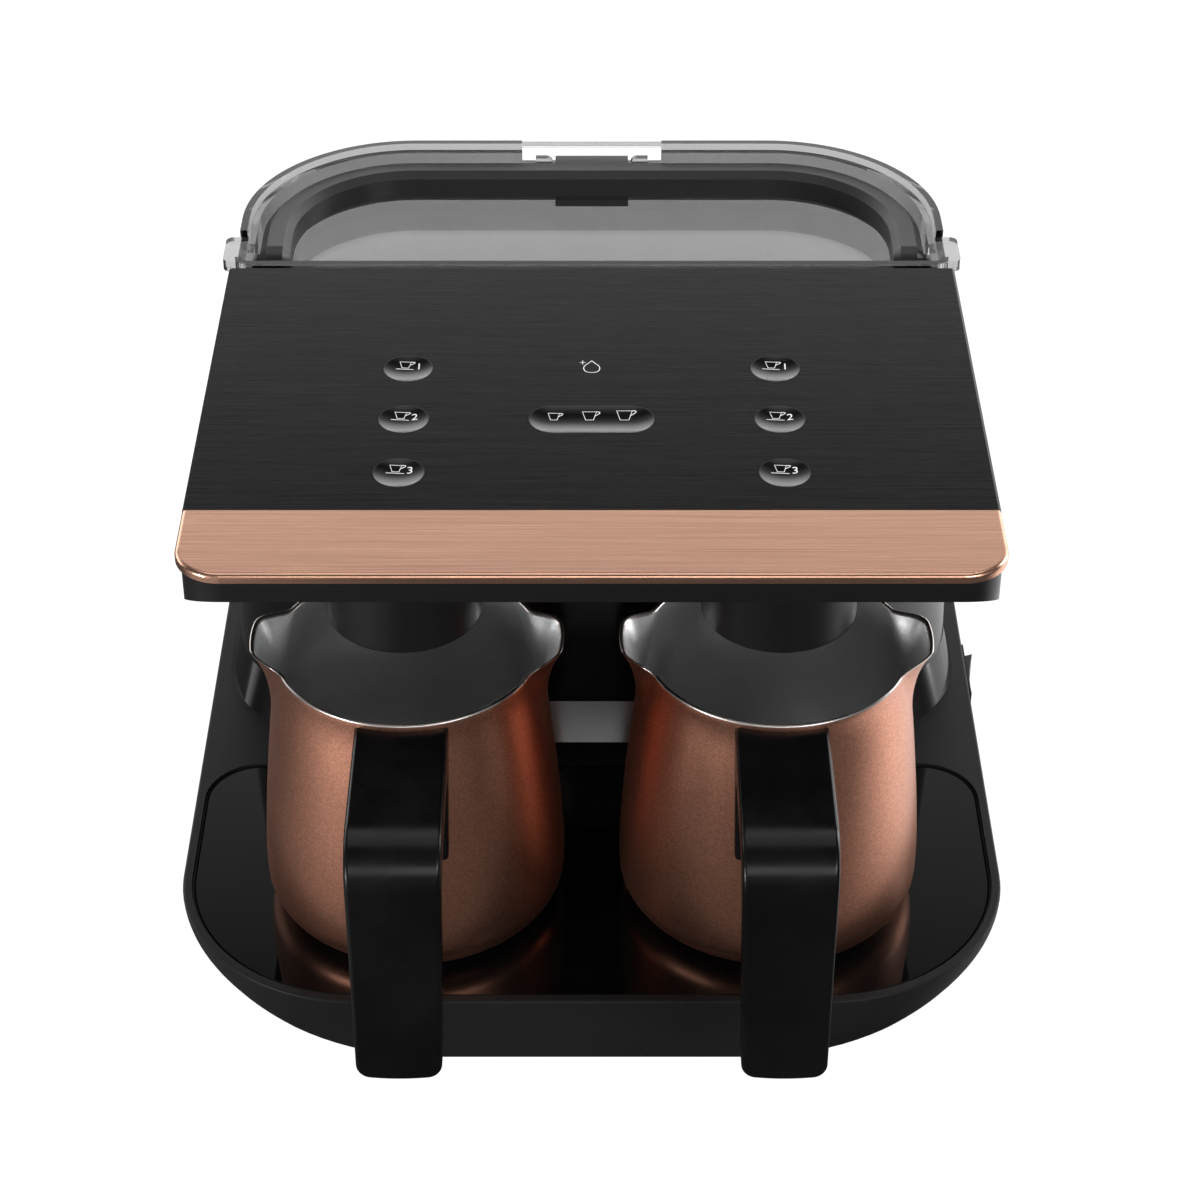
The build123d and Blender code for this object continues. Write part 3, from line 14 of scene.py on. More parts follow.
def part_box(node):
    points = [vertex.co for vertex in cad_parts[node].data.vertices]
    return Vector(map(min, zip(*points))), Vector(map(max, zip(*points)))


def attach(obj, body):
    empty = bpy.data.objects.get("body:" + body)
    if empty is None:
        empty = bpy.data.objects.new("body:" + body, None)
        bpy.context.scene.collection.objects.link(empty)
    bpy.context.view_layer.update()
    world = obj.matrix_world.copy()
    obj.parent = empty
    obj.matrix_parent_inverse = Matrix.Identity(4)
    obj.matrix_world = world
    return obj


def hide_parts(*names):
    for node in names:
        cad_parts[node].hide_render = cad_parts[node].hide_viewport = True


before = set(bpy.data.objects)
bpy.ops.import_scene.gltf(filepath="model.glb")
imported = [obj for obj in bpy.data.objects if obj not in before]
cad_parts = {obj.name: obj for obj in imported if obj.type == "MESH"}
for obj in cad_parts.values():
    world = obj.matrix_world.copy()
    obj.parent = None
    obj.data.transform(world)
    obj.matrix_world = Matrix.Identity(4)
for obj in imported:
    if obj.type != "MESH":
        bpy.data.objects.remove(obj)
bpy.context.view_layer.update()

bl_info = {
    "name": "Two-pot coffee maker",
    "version": (1, 0, 0),
    "blender": (4, 5, 0),
    "location": "View3D > Sidebar > Coffee maker",
    "description": "Finishes and fine pieces of a two-pot Turkish coffee maker",
    "category": "Object",
}

MM = 0.001
SIDES = {"left": -1, "right": 1}
POT_LOW, POT_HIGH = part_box("pot_right")
POT_X = (POT_LOW.x + POT_HIGH.x) / 2
POT_Y = (POT_LOW.y + POT_HIGH.y) / 2
POT_Z = POT_LOW.z
PANEL_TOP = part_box("top_panel")[1].z


# ---------------------------------------------------------------- sizes and colours
class PotLook(bpy.types.PropertyGroup):
    """Sizes and colours of the two pots and their handles."""

    height: FloatProperty(name="Height", description="Bottom to rim, away from the pour lips",
                          default=96.8 * MM, unit="LENGTH")
    wall: FloatProperty(name="Wall", description="Thickness of the drawn wall",
                        default=1.5 * MM, unit="LENGTH")
    lip_reach: FloatProperty(name="Lip reach", description="Pour lip beyond the rim's circle",
                             default=7.2 * MM, unit="LENGTH")
    lip_rise: FloatProperty(name="Lip rise", description="Rim's rise at the tip of a pour lip",
                            default=2.9 * MM, unit="LENGTH")
    copper: FloatVectorProperty(name="Copper", description="Lacquer on the outside",
                                default=(0.62, 0.29, 0.195), subtype="COLOR", size=3)
    lining: FloatVectorProperty(name="Lining", description="Grey anodised inside",
                                default=(0.75, 0.75, 0.755), subtype="COLOR", size=3)
    handle: FloatVectorProperty(name="Handle", description="Moulded handle",
                                default=(0.0045, 0.0045, 0.0048), subtype="COLOR", size=3)


class BodyLook(bpy.types.PropertyGroup):
    """Colours of the base, the column and the head."""

    housing: FloatVectorProperty(name="Housing", description="Fine-grained base moulding",
                                 default=(0.016, 0.016, 0.0164), subtype="COLOR", size=3)
    gloss: FloatVectorProperty(name="Column", description="Polished column",
                               default=(0.006, 0.006, 0.0065), subtype="COLOR", size=3)
    glass: FloatVectorProperty(name="Glass", description="Glass hob",
                               default=(0.0025, 0.0025, 0.0027), subtype="COLOR", size=3)
    band: FloatVectorProperty(name="Band", description="Brushed copper-coloured band",
                              default=(0.60, 0.335, 0.235), subtype="COLOR", size=3)
    panel: FloatVectorProperty(name="Panel", description="Brushed black panel",
                               default=(0.006, 0.006, 0.0061), subtype="COLOR", size=3)


class TankLook(bpy.types.PropertyGroup):
    """Colours of the water tank, its lid and the carry handle."""

    tint: FloatVectorProperty(name="Tint", description="Smoky tint of the clear plastic",
                              default=(0.5, 0.5, 0.505), subtype="COLOR", size=3)
    bail: FloatVectorProperty(name="Carry handle", description="Satin carry handle",
                              default=(0.03, 0.03, 0.031), subtype="COLOR", size=3)


class MarkLook(bpy.types.PropertyGroup):
    """Printed symbols on the keys and the panel."""

    line: FloatProperty(name="Line", description="Width of a symbol's line",
                        default=0.28 * MM, unit="LENGTH")
    digit: FloatProperty(name="Digit", description="Height of a digit",
                         default=3.1 * MM, unit="LENGTH")
    ink: FloatVectorProperty(name="Ink", description="Pale grey ink",
                             default=(0.62, 0.62, 0.63), subtype="COLOR", size=3)


class StageLook(bpy.types.PropertyGroup):
    """Floor, lamps and camera."""

    floor_size: FloatProperty(name="Floor", description="Width of the floor",
                              default=60.0, unit="LENGTH")
    top_power: FloatProperty(name="Top lamp", description="Power of the large lamp above",
                             default=5.0, unit="POWER")
    front_power: FloatProperty(name="Front lamp", description="Power of the lamp below the camera",
                               default=1.5, unit="POWER")
    fill_power: FloatProperty(name="Fill lamp", description="Power of the lamp on the front right",
                              default=4.0, unit="POWER")
    right_power: FloatProperty(name="Right lamp",
                               description="Power of the tall lamp on the right",
                               default=4.0, unit="POWER")
    left_power: FloatProperty(name="Left lamp", description="Power of the low lamp on the left",
                              default=5.0, unit="POWER")
    lens: FloatProperty(name="Lens", description="Camera's focal length in millimetres",
                        default=90.2)


# Colours and values that a user would hardly change.
RUBBER = (0.004, 0.004, 0.004)
ZINC = (0.5, 0.5, 0.51)
SWITCH = (0.012, 0.012, 0.0125)
HEAD_SATIN = (0.009, 0.009, 0.0095)
KEY_FACE = (0.03, 0.03, 0.0306)
JET = (0.22, 0.22, 0.23)
SENSOR = (0.03, 0.01, 0.012)
INNER_PLASTIC = (0.05, 0.05, 0.055)
WINDING = (0.6, 0.27, 0.14)
ALUMINIUM = (0.6, 0.6, 0.62)
SOLDER_MASK = (0.01, 0.09, 0.035)
HOSE = (0.5, 0.5, 0.48)
KEY_MAT = (0.12, 0.12, 0.125)
FILTER = (0.2, 0.2, 0.2)
RIM_EDGE = (0.55, 0.5, 0.48)
ACRYLIC_IOR = 1.49
# strength of the painted glow: an emission that brightens the symbols' ink
INK_GLOW = 0.75


# ---------------------------------------------------------------- node helpers
def add(tree, kind, inputs=(), **settings):
    """New shader node with its settings, and with values or links on its inputs."""
    node = tree.nodes.new("ShaderNode" + kind)
    for name, value in settings.items():
        setattr(node, name, value)
    for key, value in dict(inputs).items():
        if isinstance(value, bpy.types.NodeSocket):
            tree.links.new(value, node.inputs[key])
        else:
            node.inputs[key].default_value = value
    return node


def scaled(tree, vector, scale):
    """Vector with each axis scaled by a Mapping node."""
    return add(tree, "Mapping", {"Vector": vector, "Scale": scale}).outputs["Vector"]


def noise(tree, vector, scale, detail=3.0, roughness=0.55):
    """Noise value over a vector."""
    return add(tree, "TexNoise", {"Vector": vector, "Scale": scale, "Detail": detail,
                                  "Roughness": roughness}).outputs["Fac"]


def ranged(tree, value, low, high, out_low, out_high):
    """Value mapped from one range to another and clamped."""
    return add(tree, "MapRange", {"Value": value, "From Min": low, "From Max": high,
                                  "To Min": out_low, "To Max": out_high}).outputs["Result"]


def multiplied(tree, first, second):
    """Product of two values."""
    return add(tree, "Math", {0: first, 1: second}, operation="MULTIPLY").outputs["Value"]


def summed(tree, first, second):
    """Sum of two values."""
    return add(tree, "Math", {0: first, 1: second}, operation="ADD").outputs["Value"]


def larger(tree, first, second):
    """Larger of two values."""
    return add(tree, "Math", {0: first, 1: second}, operation="MAXIMUM").outputs["Value"]


def new_group(name, inputs, outputs):
    """Empty node group with named sockets, and its input and output nodes."""
    tree = bpy.data.node_groups.new(name, "ShaderNodeTree")
    for label, kind, value in inputs:
        socket = tree.interface.new_socket(label, in_out="INPUT", socket_type=kind)
        if value is not None:
            socket.default_value = value
    for label, kind in outputs:
        tree.interface.new_socket(label, in_out="OUTPUT", socket_type=kind)
    return tree, tree.nodes.new("NodeGroupInput"), tree.nodes.new("NodeGroupOutput")


HAND_MARKS = 22.0                        # noise cells in a metre
FINE_LINES = (30.0, 4200.0, 1400.0)      # noise cells in a metre along X, Y and Z
BROAD_LINES = (11.0, 1500.0, 500.0)


def grain_group():
    """Fine spark-eroded grain of a moulding: a value, a normal and slow hand marks."""
    tree, start, end = new_group(
        "moulded_grain",
        [("Vector", "NodeSocketVector", None), ("Grain Scale", "NodeSocketFloat", 2600.0),
         ("Grain Height", "NodeSocketFloat", 0.00004)],
        [("Grain", "NodeSocketFloat"), ("Marks", "NodeSocketFloat"),
         ("Normal", "NodeSocketVector")])
    fine = noise(tree, start.outputs["Vector"], start.outputs["Grain Scale"], 2.0, 0.6)
    slow = noise(tree, start.outputs["Vector"], HAND_MARKS, 4.0, 0.6)
    marks = ranged(tree, slow, 0.35, 0.7, 0.0, 1.0)
    bump = add(tree, "Bump", {"Height": fine, "Distance": start.outputs["Grain Height"],
                              "Strength": 1.0})
    tree.links.new(fine, end.inputs["Grain"])
    tree.links.new(marks, end.inputs["Marks"])
    tree.links.new(bump.outputs["Normal"], end.inputs["Normal"])


def brushed_group():
    """Lines of a metal sheet brushed along X: a value, longer streaks and a normal."""
    tree, start, end = new_group(
        "brushed_lines",
        [("Vector", "NodeSocketVector", None), ("Line Height", "NodeSocketFloat", 0.00003)],
        [("Lines", "NodeSocketFloat"), ("Streaks", "NodeSocketFloat"),
         ("Normal", "NodeSocketVector")])
    fine = noise(tree, scaled(tree, start.outputs["Vector"], FINE_LINES), 1.0, 3.0, 0.7)
    broad = noise(tree, scaled(tree, start.outputs["Vector"], BROAD_LINES), 1.0, 4.0, 0.6)
    streaks = ranged(tree, broad, 0.3, 0.7, 0.0, 1.0)
    bump = add(tree, "Bump", {"Height": fine, "Distance": start.outputs["Line Height"],
                              "Strength": 1.0})
    tree.links.new(fine, end.inputs["Lines"])
    tree.links.new(streaks, end.inputs["Streaks"])
    tree.links.new(bump.outputs["Normal"], end.inputs["Normal"])


def new_material(name):
    """Material with an empty Principled shader, and its parts."""
    material = bpy.data.materials.new(name)
    material.use_nodes = True
    tree = material.node_tree
    tree.nodes.clear()
    shader = add(tree, "BsdfPrincipled")
    output = add(tree, "OutputMaterial", {"Surface": shader.outputs["BSDF"]})
    output.is_active_output = True
    vector = add(tree, "TexCoord").outputs["Object"]
    return material, tree, shader, vector


def group_node(tree, name, vector, **values):
    """A shared effect placed in a material with its own values."""
    node = tree.nodes.new("ShaderNodeGroup")
    node.node_tree = bpy.data.node_groups[name]
    tree.links.new(vector, node.inputs["Vector"])
    for key, value in values.items():
        node.inputs[key.replace("_", " ")].default_value = value
    return node


MIX_LOW, MIX_HIGH, MIX_RESULT = 6, 7, 2   # a Mix node's sockets for colours


def tone(tree, factor, low, high):
    """Colour between two colours."""
    mix = add(tree, "Mix", {"Factor": factor}, data_type="RGBA")
    mix.inputs[MIX_LOW].default_value = (*low, 1.0)
    mix.inputs[MIX_HIGH].default_value = (*high, 1.0)
    return mix.outputs[MIX_RESULT]


def shade(colour, factor):
    """Colour made lighter or darker."""
    return tuple(min(1.0, channel * factor) for channel in colour)


def fill(tree, shader, colour, roughness, group):
    """Links a colour, a roughness and a group's normal to a shader."""
    tree.links.new(colour, shader.inputs["Base Color"])
    tree.links.new(roughness, shader.inputs["Roughness"])
    tree.links.new(group.outputs["Normal"], shader.inputs["Normal"])


def spread_tone(tree, factor, colour, contrast):
    """A colour made lighter and darker by a factor."""
    return tone(tree, factor, shade(colour, 1 - contrast), shade(colour, 1 + contrast))


def moulded(name, colour, roughness=0.45, specular=0.2, grain=0.00004, scale=2600.0,
            spread=0.06, contrast=0.25):
    """Moulded plastic or rubber with a fine grain and slow changes of gloss."""
    material, tree, shader, vector = new_material(name)
    group = group_node(tree, "moulded_grain", vector, Grain_Scale=scale, Grain_Height=grain)
    fill(tree, shader, spread_tone(tree, group.outputs["Grain"], colour, contrast),
         ranged(tree, group.outputs["Marks"], 0.0, 1.0, roughness - spread, roughness + spread),
         group)
    shader.inputs["Specular IOR Level"].default_value = specular
    return material


def brushed(name, colour, roughness, spread, contrast, height=0.000012, edge=1.0):
    """Metal sheet brushed along X. Edge is how much a shallow view brightens it."""
    material, tree, shader, vector = new_material(name)
    group = group_node(tree, "brushed_lines", vector, Line_Height=height)
    both = summed(tree, group.outputs["Lines"], group.outputs["Streaks"])
    fill(tree, shader, spread_tone(tree, ranged(tree, both, 0.35, 1.35, 0.0, 1.0), colour,
                                   contrast),
         ranged(tree, group.outputs["Lines"], 0.25, 0.75, roughness - spread,
                roughness + spread), group)
    shader.inputs["Metallic"].default_value = 1.0
    shader.inputs["Specular Tint"].default_value = (edge, edge, edge, 1.0)
    return material


def polished(name, colour, roughness=0.08, specular=0.35, contrast=0.3):
    """Polished plastic or glass with faint wipe marks in its gloss."""
    material, tree, shader, vector = new_material(name)
    group = group_node(tree, "moulded_grain", vector, Grain_Scale=420.0, Grain_Height=0.0000015)
    marks = group.outputs["Marks"]
    fill(tree, shader, spread_tone(tree, marks, colour, contrast),
         ranged(tree, marks, 0.0, 1.0, roughness * 0.6, roughness * 1.5), group)
    shader.inputs["Specular IOR Level"].default_value = specular
    return material


def metal(name, colour, roughness=0.3, scale=900.0, grain=0.00001):
    """Plain metal with a fine tumbled grain."""
    material, tree, shader, vector = new_material(name)
    group = group_node(tree, "moulded_grain", vector, Grain_Scale=scale, Grain_Height=grain)
    fill(tree, shader, spread_tone(tree, group.outputs["Grain"], colour, 0.2),
         ranged(tree, group.outputs["Marks"], 0.0, 1.0, roughness * 0.8, roughness * 1.3), group)
    shader.inputs["Metallic"].default_value = 1.0
    return material


def lacquer(name, colour):
    """Copper-coloured metallic lacquer with a fine sparkle."""
    material, tree, shader, vector = new_material(name)
    group = group_node(tree, "moulded_grain", vector, Grain_Scale=3200.0, Grain_Height=0.00002)
    flakes = add(tree, "TexVoronoi", {"Vector": vector, "Scale": 2600.0}).outputs["Color"]
    flake = add(tree, "SeparateColor", {"Color": flakes}).outputs["Red"]
    fill(tree, shader, spread_tone(tree, flake, colour, 0.2),
         ranged(tree, group.outputs["Grain"], 0.3, 0.7, 0.30, 0.38), group)
    shader.inputs["Metallic"].default_value = 1.0
    return material


def clear(name, tint, roughness=0.02):
    """Clear smoky plastic with faint wipe marks."""
    material, tree, shader, vector = new_material(name)
    group = group_node(tree, "moulded_grain", vector, Grain_Scale=90.0, Grain_Height=0.000002)
    marks = group.outputs["Marks"]
    fill(tree, shader, tone(tree, marks, shade(tint, 0.96), shade(tint, 1.03)),
         ranged(tree, marks, 0.0, 1.0, roughness, roughness * 2.5), group)
    shader.inputs["Transmission Weight"].default_value = 1.0
    shader.inputs["IOR"].default_value = ACRYLIC_IOR
    return material


def symbol_ink(look):
    """Ink of the symbols, with a painted glow: an emission in the ink's colour makes it brighter
    than the lamps alone would.
    """
    material = moulded("symbol_ink", tuple(look.ink), 0.5, 0.3, 0.000004, 3000.0, 0.05, 0.04)
    shader = material.node_tree.nodes["Principled BSDF"]
    shader.inputs["Emission Color"].default_value = (*look.ink, 1.0)
    shader.inputs["Emission Strength"].default_value = INK_GLOW
    return material


# ---------------------------------------------------------------- mesh helpers
def finish_nodes(material, *names):
    """Gives CAD nodes a material in all their slots."""
    for name in names:
        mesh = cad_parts[name].data
        mesh.materials.clear()
        mesh.materials.append(material)


def new_piece(name, bm, materials, body, smooth_angle=35.0):
    """Object from a bmesh, at the origin, riding on a body."""
    mesh = bpy.data.meshes.new(name)
    bm.to_mesh(mesh)
    bm.free()
    for material in materials:
        mesh.materials.append(material)
    piece = bpy.data.objects.new(name, mesh)
    bpy.context.scene.collection.objects.link(piece)
    for face in mesh.polygons:
        face.use_smooth = True
    mark_sharp(mesh, radians(smooth_angle))
    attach(piece, body)
    return piece


def mark_sharp(mesh, angle):
    """Marks the edges whose faces meet at more than an angle as sharp."""
    bm = bmesh.new()
    bm.from_mesh(mesh)
    for edge in bm.edges:
        if len(edge.link_faces) == 2 and edge.calc_face_angle(0.0) > angle:
            edge.smooth = False
    bm.to_mesh(mesh)
    bm.free()


def edge_chain(bm, points):
    """Joins new vertices at points by edges."""
    verts = [bm.verts.new(point) for point in points]
    for first, second in zip(verts, verts[1:]):
        bm.edges.new((first, second))


def smoothstep(low, high, value):
    """0 below low, 1 above high, smooth between them."""
    share = max(0.0, min(1.0, (value - low) / (high - low)))
    return share * share * (3 - 2 * share)


# ---------------------------------------------------------------- pots
# Radius of the outer wall in millimetres at shares of the pot's height, from foot to rim.
WALL_SHARES = ((0.108, 48.4), (0.17, 48.5), (0.25, 48.25), (0.34, 47.7), (0.43, 47.05),
               (0.51, 46.35), (0.60, 45.5), (0.69, 44.6), (0.76, 43.8), (0.82, 43.05),
               (0.87, 42.4), (0.91, 41.95), (0.955, 41.75), (1.0, 42.1))
WALL_ROWS = 40
FOOT_STEPS = 10
RIM_STEPS = 6
SPIN_STEPS = 160
FOOT_RADIUS = 10.5 * MM
FLOOR_THICKNESS = 2.5 * MM
LIP_DEPTH = 24.0 * MM                          # how far down the wall a lip starts
LIP_ANGLE = radians(19.4)                      # half of a lip's width, seen from the axis
LIP_NARROWING, LIP_TAPER = 0.58, 0.7           # how a lip narrows downwards
LIP_FLARE = 1.9                                # how fast it reaches out upwards
LIP_FLANK = (0.45, 1.35)                       # its side, as shares of LIP_ANGLE
RISE = (34.0 * MM, 50.5 * MM)                  # where the rim rises, along X from the axis
RIM_SLOT, LINING_SLOT = 1, 2                   # places among a pot's materials, copper is 0


def wall_radius(share):
    """Radius of the outer wall at a share of the pot's height, on a smooth curve."""
    share = max(WALL_SHARES[0][0], min(WALL_SHARES[-1][0], share))
    last = len(WALL_SHARES) - 1
    step = next(index for index in range(1, last + 1) if share <= WALL_SHARES[index][0])
    (low, first), (high, second) = WALL_SHARES[step - 1:step + 1]
    slopes = []
    for index in (step - 1, step):
        before, after = WALL_SHARES[max(0, index - 1)], WALL_SHARES[min(last, index + 1)]
        slopes.append((after[1] - before[1]) / (after[0] - before[0]) * (high - low))
    place = (share - low) / (high - low)
    square, cube = place ** 2, place ** 3
    return ((2 * cube - 3 * square + 1) * first + (cube - 2 * square + place) * slopes[0]
            + (3 * square - 2 * cube) * second + (cube - square) * slopes[1]) * MM


def pot_profile(height, wall):
    """Half section of a pot's wall: up the outside, round the rim and down the inside."""
    belly = wall_radius(0)
    flat = belly - FOOT_RADIUS
    levels = [FOOT_RADIUS + (height - wall / 2 - FOOT_RADIUS) * row / WALL_ROWS
              for row in range(WALL_ROWS + 1)]
    foot = [radians(90 / FOOT_STEPS * step) for step in range(FOOT_STEPS)]
    outside = [(flat + FOOT_RADIUS * sin(turn), FOOT_RADIUS * (1 - cos(turn))) for turn in foot]
    outside += [(wall_radius(z / height), z) for z in levels]
    middle = (outside[-1][0] - wall / 2, levels[-1])
    rim = [(middle[0] + wall / 2 * cos(turn), middle[1] + wall / 2 * sin(turn))
           for turn in (radians(180 / RIM_STEPS * step) for step in range(1, RIM_STEPS))]
    inside = [(wall_radius(z / height) - wall, z) for z in reversed(levels)]
    inside += [(flat + (FOOT_RADIUS - wall) * sin(turn),
                FOOT_RADIUS - (FOOT_RADIUS - FLOOR_THICKNESS) * cos(turn))
               for turn in reversed(foot)]
    return [(0.0, 0.0)] + outside + rim + inside + [(0.0, FLOOR_THICKNESS)]


def pull_lips(bm, look):
    """Draws the wall outwards and upwards into the two pour lips."""
    for vert in bm.verts:
        share = 1 - (look.height - vert.co.z) / LIP_DEPTH
        radius = Vector(vert.co[:2]).length
        if share <= 0 or radius < FOOT_RADIUS:
            continue
        angle = atan2(abs(vert.co.y), abs(vert.co.x))
        half = LIP_ANGLE * (1 - LIP_NARROWING * (1 - min(1.0, share)) ** LIP_TAPER)
        reach = look.lip_reach * share ** LIP_FLARE * (1 - smoothstep(*LIP_FLANK, angle / half))
        vert.co.x *= 1 + reach / radius
        vert.co.y *= 1 + reach / radius
        rise = smoothstep(*RISE, abs(vert.co.x))
        vert.co.z += look.lip_rise * rise * share


def pot_piece(side_name, materials):
    """One pot: its section spun about the axis, with drawn lips, grey inside and bright rim."""
    look = bpy.context.scene.pot_look
    bm = bmesh.new()
    edge_chain(bm, [(x, 0.0, z) for x, z in pot_profile(look.height, look.wall)])
    bmesh.ops.spin(bm, geom=bm.verts[:] + bm.edges[:], cent=(0, 0, 0), axis=(0, 0, 1),
                   dvec=(0, 0, 0), angle=2 * pi, steps=SPIN_STEPS, use_duplicate=False)
    bmesh.ops.remove_doubles(bm, verts=bm.verts, dist=0.01 * MM)
    bmesh.ops.recalc_face_normals(bm, faces=bm.faces)
    for face in bm.faces:
        middle = face.calc_center_median()
        radius = Vector(middle[:2]).length
        if middle.z > look.height - look.wall / 2:
            face.material_index = RIM_SLOT
        elif middle.z > FLOOR_THICKNESS / 2 and \
                radius < wall_radius(middle.z / look.height) - look.wall / 2 and \
                not (middle.z < FOOT_RADIUS and face.normal.z < 0):
            face.material_index = LINING_SLOT
    pull_lips(bm, look)
    bmesh.ops.translate(bm, verts=bm.verts, vec=(SIDES[side_name] * POT_X, POT_Y, POT_Z))
    piece = new_piece(f"pot_{side_name}_drawn", bm, materials, f"pot_{side_name}",
                      60.0)
    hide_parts(f"pot_{side_name}")


# ---------------------------------------------------------------- symbols
# Millimetres: a cup's half mouth, height and ear; places from the middle of the key.
KEY_CUP = (1.85, 2.85, 1.2)
KEY_CUP_PLACE = (-1.1, 2.1)
KEY_SAUCER_HALF = 2.8
KEY_SAUCER_PLACE = (-1.25, 1.2)
KEY_DIGIT_PLACE = (2.2, 1.05)
SIZE_CUPS = ((-11.9, (1.8, 3.2, 1.0)), (-0.7, (2.2, 3.9, 1.05)), (10.3, (2.45, 4.3, 1.2)))
SIZE_CUPS_Y = 1.4
DROP = ((0, 3.6), (0, 3.6), (1.1, 2.1), (2.75, 0), (2.3, -3.0), (0, -3.7), (-2.3, -3.0),
        (-2.75, 0), (-1.1, 2.1))
DROP_Y = 12.8
PLUS = (((-0.95, 0), (0.95, 0)), ((0, -1.2), (0, 1.2)))
PLUS_PLACE = (-2.9, 15.4)
PLUS_LINE = 0.8                          # share of the other lines' width
CUP_FOOT = 0.56                          # half width of a cup's foot, as a share of the mouth's
EAR_LOW, EAR_BEND = 0.52, 0.22           # heights in a cup's ear, as shares of the cup's
DIGIT_SHARE = 0.7                        # height of a digit, as a share of the font's size
DIGIT_DEPTH = 0.02 * MM
INK_FLATNESS = 0.05                      # share of a line's roundness that stands up
INK_LIFT = 0.012 * MM
DISH_RIM = 7.75 * MM
DISH_DEPTH = 1.3 * MM
DISH_RADIUS = (DISH_RIM ** 2 + DISH_DEPTH ** 2) / (2 * DISH_DEPTH)
SIZE_KEY_HALF = 19.9 * MM - 8.15 * MM    # middle of the long key to the middle of its round end


def in_metres(points):
    """Points given in millimetres, in metres."""
    return [(x * MM, y * MM) for x, y in points]


def stroke(name, points, width, closed=False, smooth=False):
    """Line through points at Z 0, as a curve object with a round section."""
    curve = bpy.data.curves.new(name, "CURVE")
    curve.dimensions = "3D"
    curve.bevel_depth = width / 2
    curve.bevel_resolution = 2
    curve.resolution_u = 6
    spline = curve.splines.new("NURBS" if smooth else "POLY")
    spline.points.add(len(points) - 1)
    for point, (x, y) in zip(spline.points, points):
        point.co = (x, y, 0.0, 1.0)
    spline.use_cyclic_u = closed
    if smooth:
        spline.order_u = 3
        spline.use_endpoint_u = not closed
    return bpy.data.objects.new(name, curve)


def digit_text(name, digit, height):
    """A digit as a text object, standing on its baseline."""
    text = bpy.data.curves.new(name, "FONT")
    text.body = digit
    text.size = height / DIGIT_SHARE
    text.extrude = DIGIT_DEPTH
    return bpy.data.objects.new(name, text)


def mesh_copy(obj, place):
    """Mesh of a curve or text object, moved by place. The object goes."""
    bpy.context.scene.collection.objects.link(obj)
    bpy.context.view_layer.update()
    evaluated = obj.evaluated_get(bpy.context.evaluated_depsgraph_get())
    mesh = bpy.data.meshes.new_from_object(evaluated)
    mesh.transform(place)
    bpy.data.objects.remove(obj)
    return mesh


def cup_lines(sizes, width, x, y):
    """Outline of a cup and its ear, with their places: the cup stands at Y 0."""
    mouth, height, loop = (size * MM for size in sizes)
    foot = mouth * CUP_FOOT
    body = stroke("cup", [(-mouth, height), (-foot, 0), (foot, 0), (mouth, height)], width, True)
    low = height * EAR_LOW
    slope = foot + (mouth - foot) * EAR_LOW
    ear = stroke("ear", [(mouth, height), (mouth + loop, height),
                         (mouth + loop, height * (1 - EAR_BEND)), (slope, low)],
                 width, False, True)
    return [(body, x, y), (ear, x, y)]


def drape(bm, surface_z, thickness):
    """Lays a flat mesh over a surface given as Z over X and Y."""
    for vert in bm.verts:
        vert.co.z = surface_z(vert.co.x, vert.co.y) + vert.co.z * thickness


def dish_z(dx, dy):
    """Height of a round key's dish at a place from its middle."""
    inside = max(0.0, DISH_RADIUS ** 2 - dx * dx - dy * dy)
    return PANEL_TOP - DISH_DEPTH + DISH_RADIUS - sqrt(inside) + INK_LIFT


def symbol_piece(name, parts, body, surface_z, ink):
    """Symbol made of strokes and digits with their places, laid on a surface."""
    bm = bmesh.new()
    for obj, x, y in parts:
        mesh = mesh_copy(obj, Matrix.Translation((x, y, 0.0)))
        bm.from_mesh(mesh)
        bpy.data.meshes.remove(mesh)
    bmesh.ops.remove_doubles(bm, verts=bm.verts, dist=0.002 * MM)
    drape(bm, surface_z, INK_FLATNESS)
    new_piece(name, bm, [ink], body)


# ---------------------------------------------------------------- operators
class COFFEE_OT_finish_base(bpy.types.Operator):
    """Finishes the base with its hob, feet, switch and inlet"""
    bl_idname = "coffee.finish_base"
    bl_label = "Finish the base"

    def execute(self, context):
        look = context.scene.body_look
        housing = moulded("housing_grain", tuple(look.housing), 0.45, 0.12)
        finish_nodes(housing, "base_housing", "bottom_cover", "switch_bezel", "mains_inlet",
                     "column_back")
        finish_nodes(polished("hob_glass", tuple(look.glass), 0.03, 0.32), "glass_plate")
        rubber = moulded("soft_rubber", RUBBER, 0.7, 0.2, 0.00006, 1500.0)
        finish_nodes(rubber, "glass_seal", "feet", "tank_seal")
        finish_nodes(metal("zinc_steel", ZINC, 0.32), "bottom_screws",
                     "handle_bracket_left", "handle_bracket_right", "handle_screw_left",
                     "handle_screw_right")
        finish_nodes(moulded("switch_satin", SWITCH, 0.28, 0.4, 0.00001), "power_switch")
        return {"FINISHED"}


class COFFEE_OT_finish_column(bpy.types.Operator):
    """Finishes the polished column and its skirt"""
    bl_idname = "coffee.finish_column"
    bl_label = "Finish the column"

    def execute(self, context):
        gloss = polished("column_gloss", tuple(context.scene.body_look.gloss), 0.12, 0.5)
        finish_nodes(gloss, "column_shell", "column_skirt")
        return {"FINISHED"}


